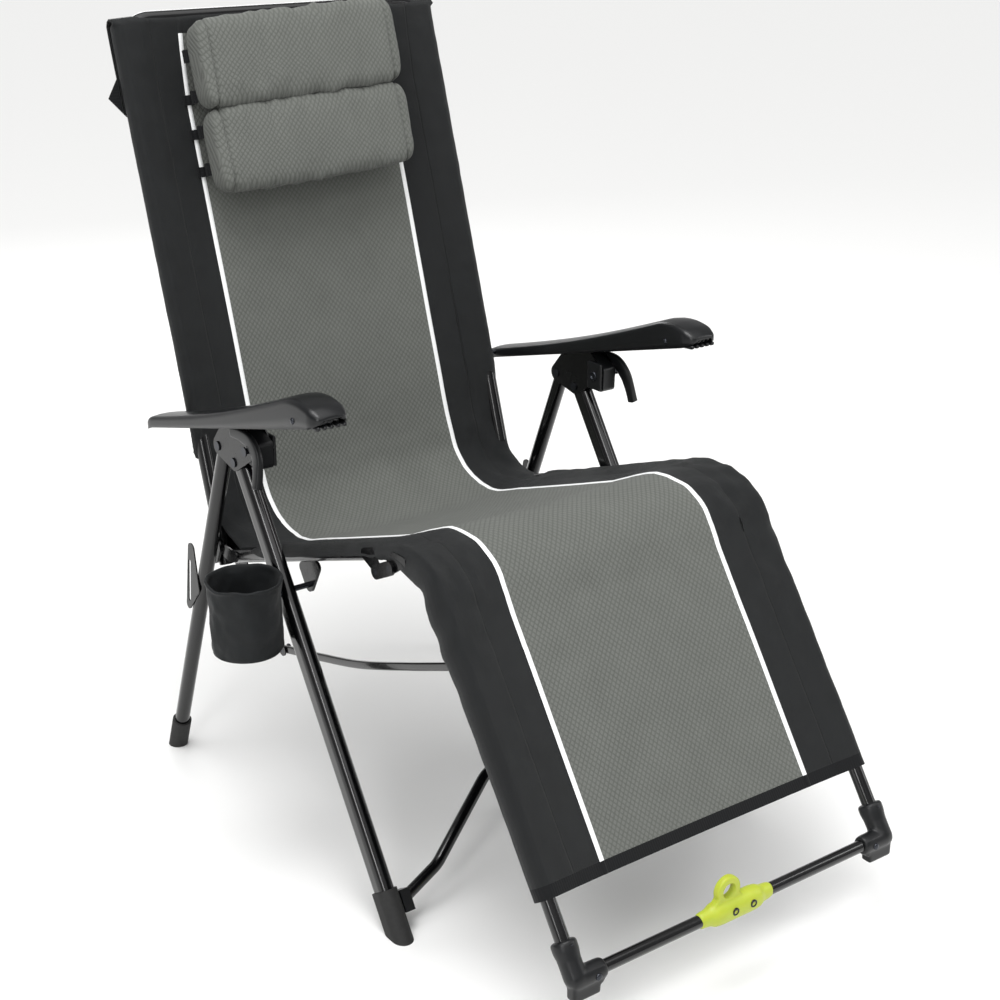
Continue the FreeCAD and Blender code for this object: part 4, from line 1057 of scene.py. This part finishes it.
RIVET_DOME = [(-0.001, 0.0042), (0.0008, 0.0042), (0.0020, 0.0030), (0.0024, 0.0008)]
for side, sign in SIDES:
    middle = sign * ARM_MIDDLE
    ribs = [
        revolve("rib", [
            (0.0, 0.0012), (0.002, 0.0034), (0.018, 0.0034), (0.0215, 0.0024), (0.023, 0.0006),
        ], facing((middle + x, -0.2265, 0.6712), (0, -1, 0.08)), 16)
        for x in (-0.0185, -0.0093, 0.0, 0.0093, 0.0185)
    ]
    joined(f"finger_grip_{side}", ribs, arm_plastic, "armrests")
    domes = [
        revolve("dome", RIVET_DOME, facing(
            (middle + way * 0.0260, -0.197, 0.6715), (way, 0, 0), (0, 0, 1)), 24)
        for way in (-1, 1)
    ]
    joined(f"armrest_rivets_{side}", domes, rivet_finish, "armrests")

# ------------------------------------------------------------------ locks and levers
# Each lock has a square boss with a socket screw on its inner face, and a moulded
# lever that curves down and flares outward to a flat fingertip.

LOCK_PIN = Vector((0, -0.044, 0.586))
for side, sign in SIDES:
    low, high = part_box(f"hub_plates_{side}")
    bosses, screws = [], []
    for way, face_x in ((-1, low.x), (1, high.x)):
        if way == sign:
            continue
        at_face = facing((face_x, LOCK_PIN.y + 0.004, LOCK_PIN.z - 0.004), (way, 0, 0), (0, 1, 0))
        bosses.append(block("boss", ((-0.016, -0.021, -0.001), (0.015, 0.021, 0.0035)), at_face))
        screws.append(revolve("screw", [
            (0.002, 0.0075), (0.0048, 0.0075), (0.0056, 0.0066), (0.0052, 0.0042),
            (0.0036, 0.0040), (0.0035, 0.0005),
        ], at_face, 28))
    boss = joined(f"lock_boss_{side}", bosses, nylon, "hubs")
    for face in boss.data.polygons:
        face.use_smooth = False
    rounding = boss.modifiers.new("rounded_edges", "BEVEL")
    rounding.width, rounding.segments = 0.0016, 3
    joined(f"lock_screw_{side}", screws, rivet_finish, "hubs")


def swept(name, path, sections, material, body, smooth=True):
    """A bar along points, each with its own half width (X) and half depth."""
    points, faces, ring = [], [], 20
    path = [Vector(p) for p in path]
    for k, (here, (half_x, half_d)) in enumerate(zip(path, sections)):
        ahead = (path[min(k + 1, len(path) - 1)] - path[max(k - 1, 0)]).normalized()
        x_axis = (Vector((1, 0, 0)) - ahead * ahead.x).normalized()
        depth_axis = ahead.cross(x_axis)
        for i in range(ring):
            angle = 2 * math.pi * i / ring
            ca, sa = math.cos(angle), math.sin(angle)
            a = math.copysign(abs(ca) ** 0.5, ca) * half_x
            d = math.copysign(abs(sa) ** 0.5, sa) * half_d
            points.append(here + x_axis * a + depth_axis * d)
    for k in range(len(path) - 1):
        for i in range(ring):
            a, b = k * ring + i, k * ring + (i + 1) % ring
            faces.append((a, b, b + ring, a + ring))
    faces.append(tuple(range(ring))[::-1])
    faces.append(tuple(range((len(path) - 1) * ring, len(path) * ring)))
    made = new_mesh_object(name, points, faces, smooth)
    made.data.materials.append(material)
    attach(made, body)
    return made


def curve_through(points, count):
    """Evenly counted points on a smooth curve through 3-D points."""
    p = np.array([points[0], *points, points[-1]], float)
    spans = len(points) - 1
    made = []
    for t in np.linspace(0, spans, count):
        i = min(int(t), spans - 1)
        f = t - i
        a, b, c, d = p[i], p[i + 1], p[i + 2], p[i + 3]
        made.append(0.5 * (
            2 * b + (c - a) * f + (2 * a - 5 * b + 4 * c - d) * f * f
            + (3 * b - a - 3 * c + d) * f ** 3
        ))
    return made


for side, sign in SIDES:
    path = curve_through([
        (sign * 0.3117, -0.002, 0.6020), (sign * 0.3117, -0.028, 0.6035),
        (sign * 0.3118, -0.052, 0.6000), (sign * 0.3125, -0.0695, 0.5860),
        (sign * 0.3155, -0.0765, 0.5680), (sign * 0.3200, -0.0805, 0.5450),
    ], 40)
    widths = [(0.0038 + 0.0022 * (k / 39) ** 2, 0.0075 + 0.0035 * math.sin(
        math.pi * k / 39) ** 2 - 0.001 * (k / 39)) for k in range(40)]
    lever = swept(
        f"lever_handle_{side}", path, widths, nylon, f"lever_{side}"
    )
    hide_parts(f"recline_lever_{side}")

# ------------------------------------------------------------------ link bars
# One flat bar a side from the back's crank to the leg rest, bowed down in the
# middle and powder coated like the tubes.

for side, sign in SIDES:
    path = curve_through([
        (sign * 0.2394, 0.0150, 0.2550), (sign * 0.2394, -0.0900, 0.2830),
        (sign * 0.2394, -0.1910, 0.3125), (sign * 0.2394, -0.3060, 0.3560),
        (sign * 0.2394, -0.4230, 0.4030),
    ], 60)
    bar = swept(
        f"link_rod_{side}", path, [(0.0038, 0.0054)] * 60, powder_coat,
        "link_bars",
    )
    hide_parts(f"link_bar_{side}")

# ------------------------------------------------------------------ pocket tab
# A corner of the hoop pocket's tape stands out past the left sleeve, behind.

corners = [(0.700, -0.2660), (0.640, -0.2660), (0.668, -0.2880)]
tab_points = [on_back_frame(x, s, h) for h in (-0.0150, -0.0125) for s, x in corners]
pocket_tab = new_mesh_object(
    "pocket_tape_corner", tab_points,
    [(0, 1, 2), (5, 4, 3), (0, 3, 4, 1), (1, 4, 5, 2), (2, 5, 3, 0)], smooth=False,
)
pocket_tab.data.materials.append(webbing)
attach(pocket_tab, "back")

# ------------------------------------------------------------------ cup holder
# A black polyester cup beside one front leg, sewn from one strip and a round
# base, with a wire in its rim and a strap to the leg.

cup_low, cup_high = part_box("cup_holder")
CUP = (cup_low + cup_high) / 2
SAG = 0.011
cup_cloth, shader = new_finish(
    "black_cup_polyester", "#0e1012", 0.7, Sheen_Weight=0.05, Specular_IOR_Level=0.28,
)
place = add_node(cup_cloth, "ShaderNodeTexCoord")
crease = clouds(cup_cloth, place.outputs["Object"], 0.018, 6.0)
tone = between(cup_cloth, crease, "#0a0c0d", "#181b1d")
to_shader(cup_cloth, shader, "Base Color", tone)
add_bump(cup_cloth, shader, crease, 0.6, 0.002)
points, faces = [], []
RIM_Z, BASE_Z = cup_high.z - SAG, cup_low.z - SAG
profile = [(0.001, BASE_Z), (0.020, BASE_Z), (0.040, BASE_Z + 0.0005), (0.0455, BASE_Z + 0.002)]
profile += [
    (0.0465 + 0.003 * t, BASE_Z + 0.004 + (RIM_Z - BASE_Z - 0.004) * t)
    for t in np.linspace(0, 1, 24)
]
profile += [
    (0.0515, RIM_Z + 0.001), (0.0512, RIM_Z + 0.003), (0.0495, RIM_Z + 0.0036),
    (0.0478, RIM_Z + 0.003),
]
profile += [
    (0.0442 + 0.003 * t, BASE_Z + 0.005 + (RIM_Z - BASE_Z - 0.005) * t)
    for t in np.linspace(1, 0, 24)
]
profile += [(0.030, BASE_Z + 0.003), (0.001, BASE_Z + 0.003)]
turns = 72
for k, (r, z) in enumerate(profile):
    for i in range(turns):
        angle = 2 * math.pi * i / turns
        ca, sa = math.cos(angle), math.sin(angle)
        level = (z - BASE_Z) / (RIM_Z - BASE_Z)
        dent = 0.0
        if 0.03 < level < 0.97:
            dent = 0.0040 * noise.noise(Vector((ca * 1.6, sa * 1.6, z * 26)))
            dent += 0.0016 * noise.noise(Vector((ca * 5, sa * 5, z * 60)))
        wave = 0.0035 * level * noise.noise(Vector((ca * 2, sa * 2, 9.0)))
        points.append((CUP.x + (r + dent) * ca, CUP.y + (r + dent) * sa, z + wave))
for k in range(len(profile) - 1):
    for i in range(turns):
        a, b = k * turns + i, k * turns + (i + 1) % turns
        faces.append((a, b, b + turns, a + turns))
faces.append(tuple(range(turns))[::-1])
faces.append(tuple(range((len(profile) - 1) * turns, len(profile) * turns)))
cup = new_mesh_object("cup_cloth", points, faces)
cup.data.materials.append(cup_cloth)
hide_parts("cup_holder", "cup_holder_ring")
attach(cup, "frame")
give(webbing, "cup_holder_strap")
soften_edges(0.0005, "cup_holder_strap")
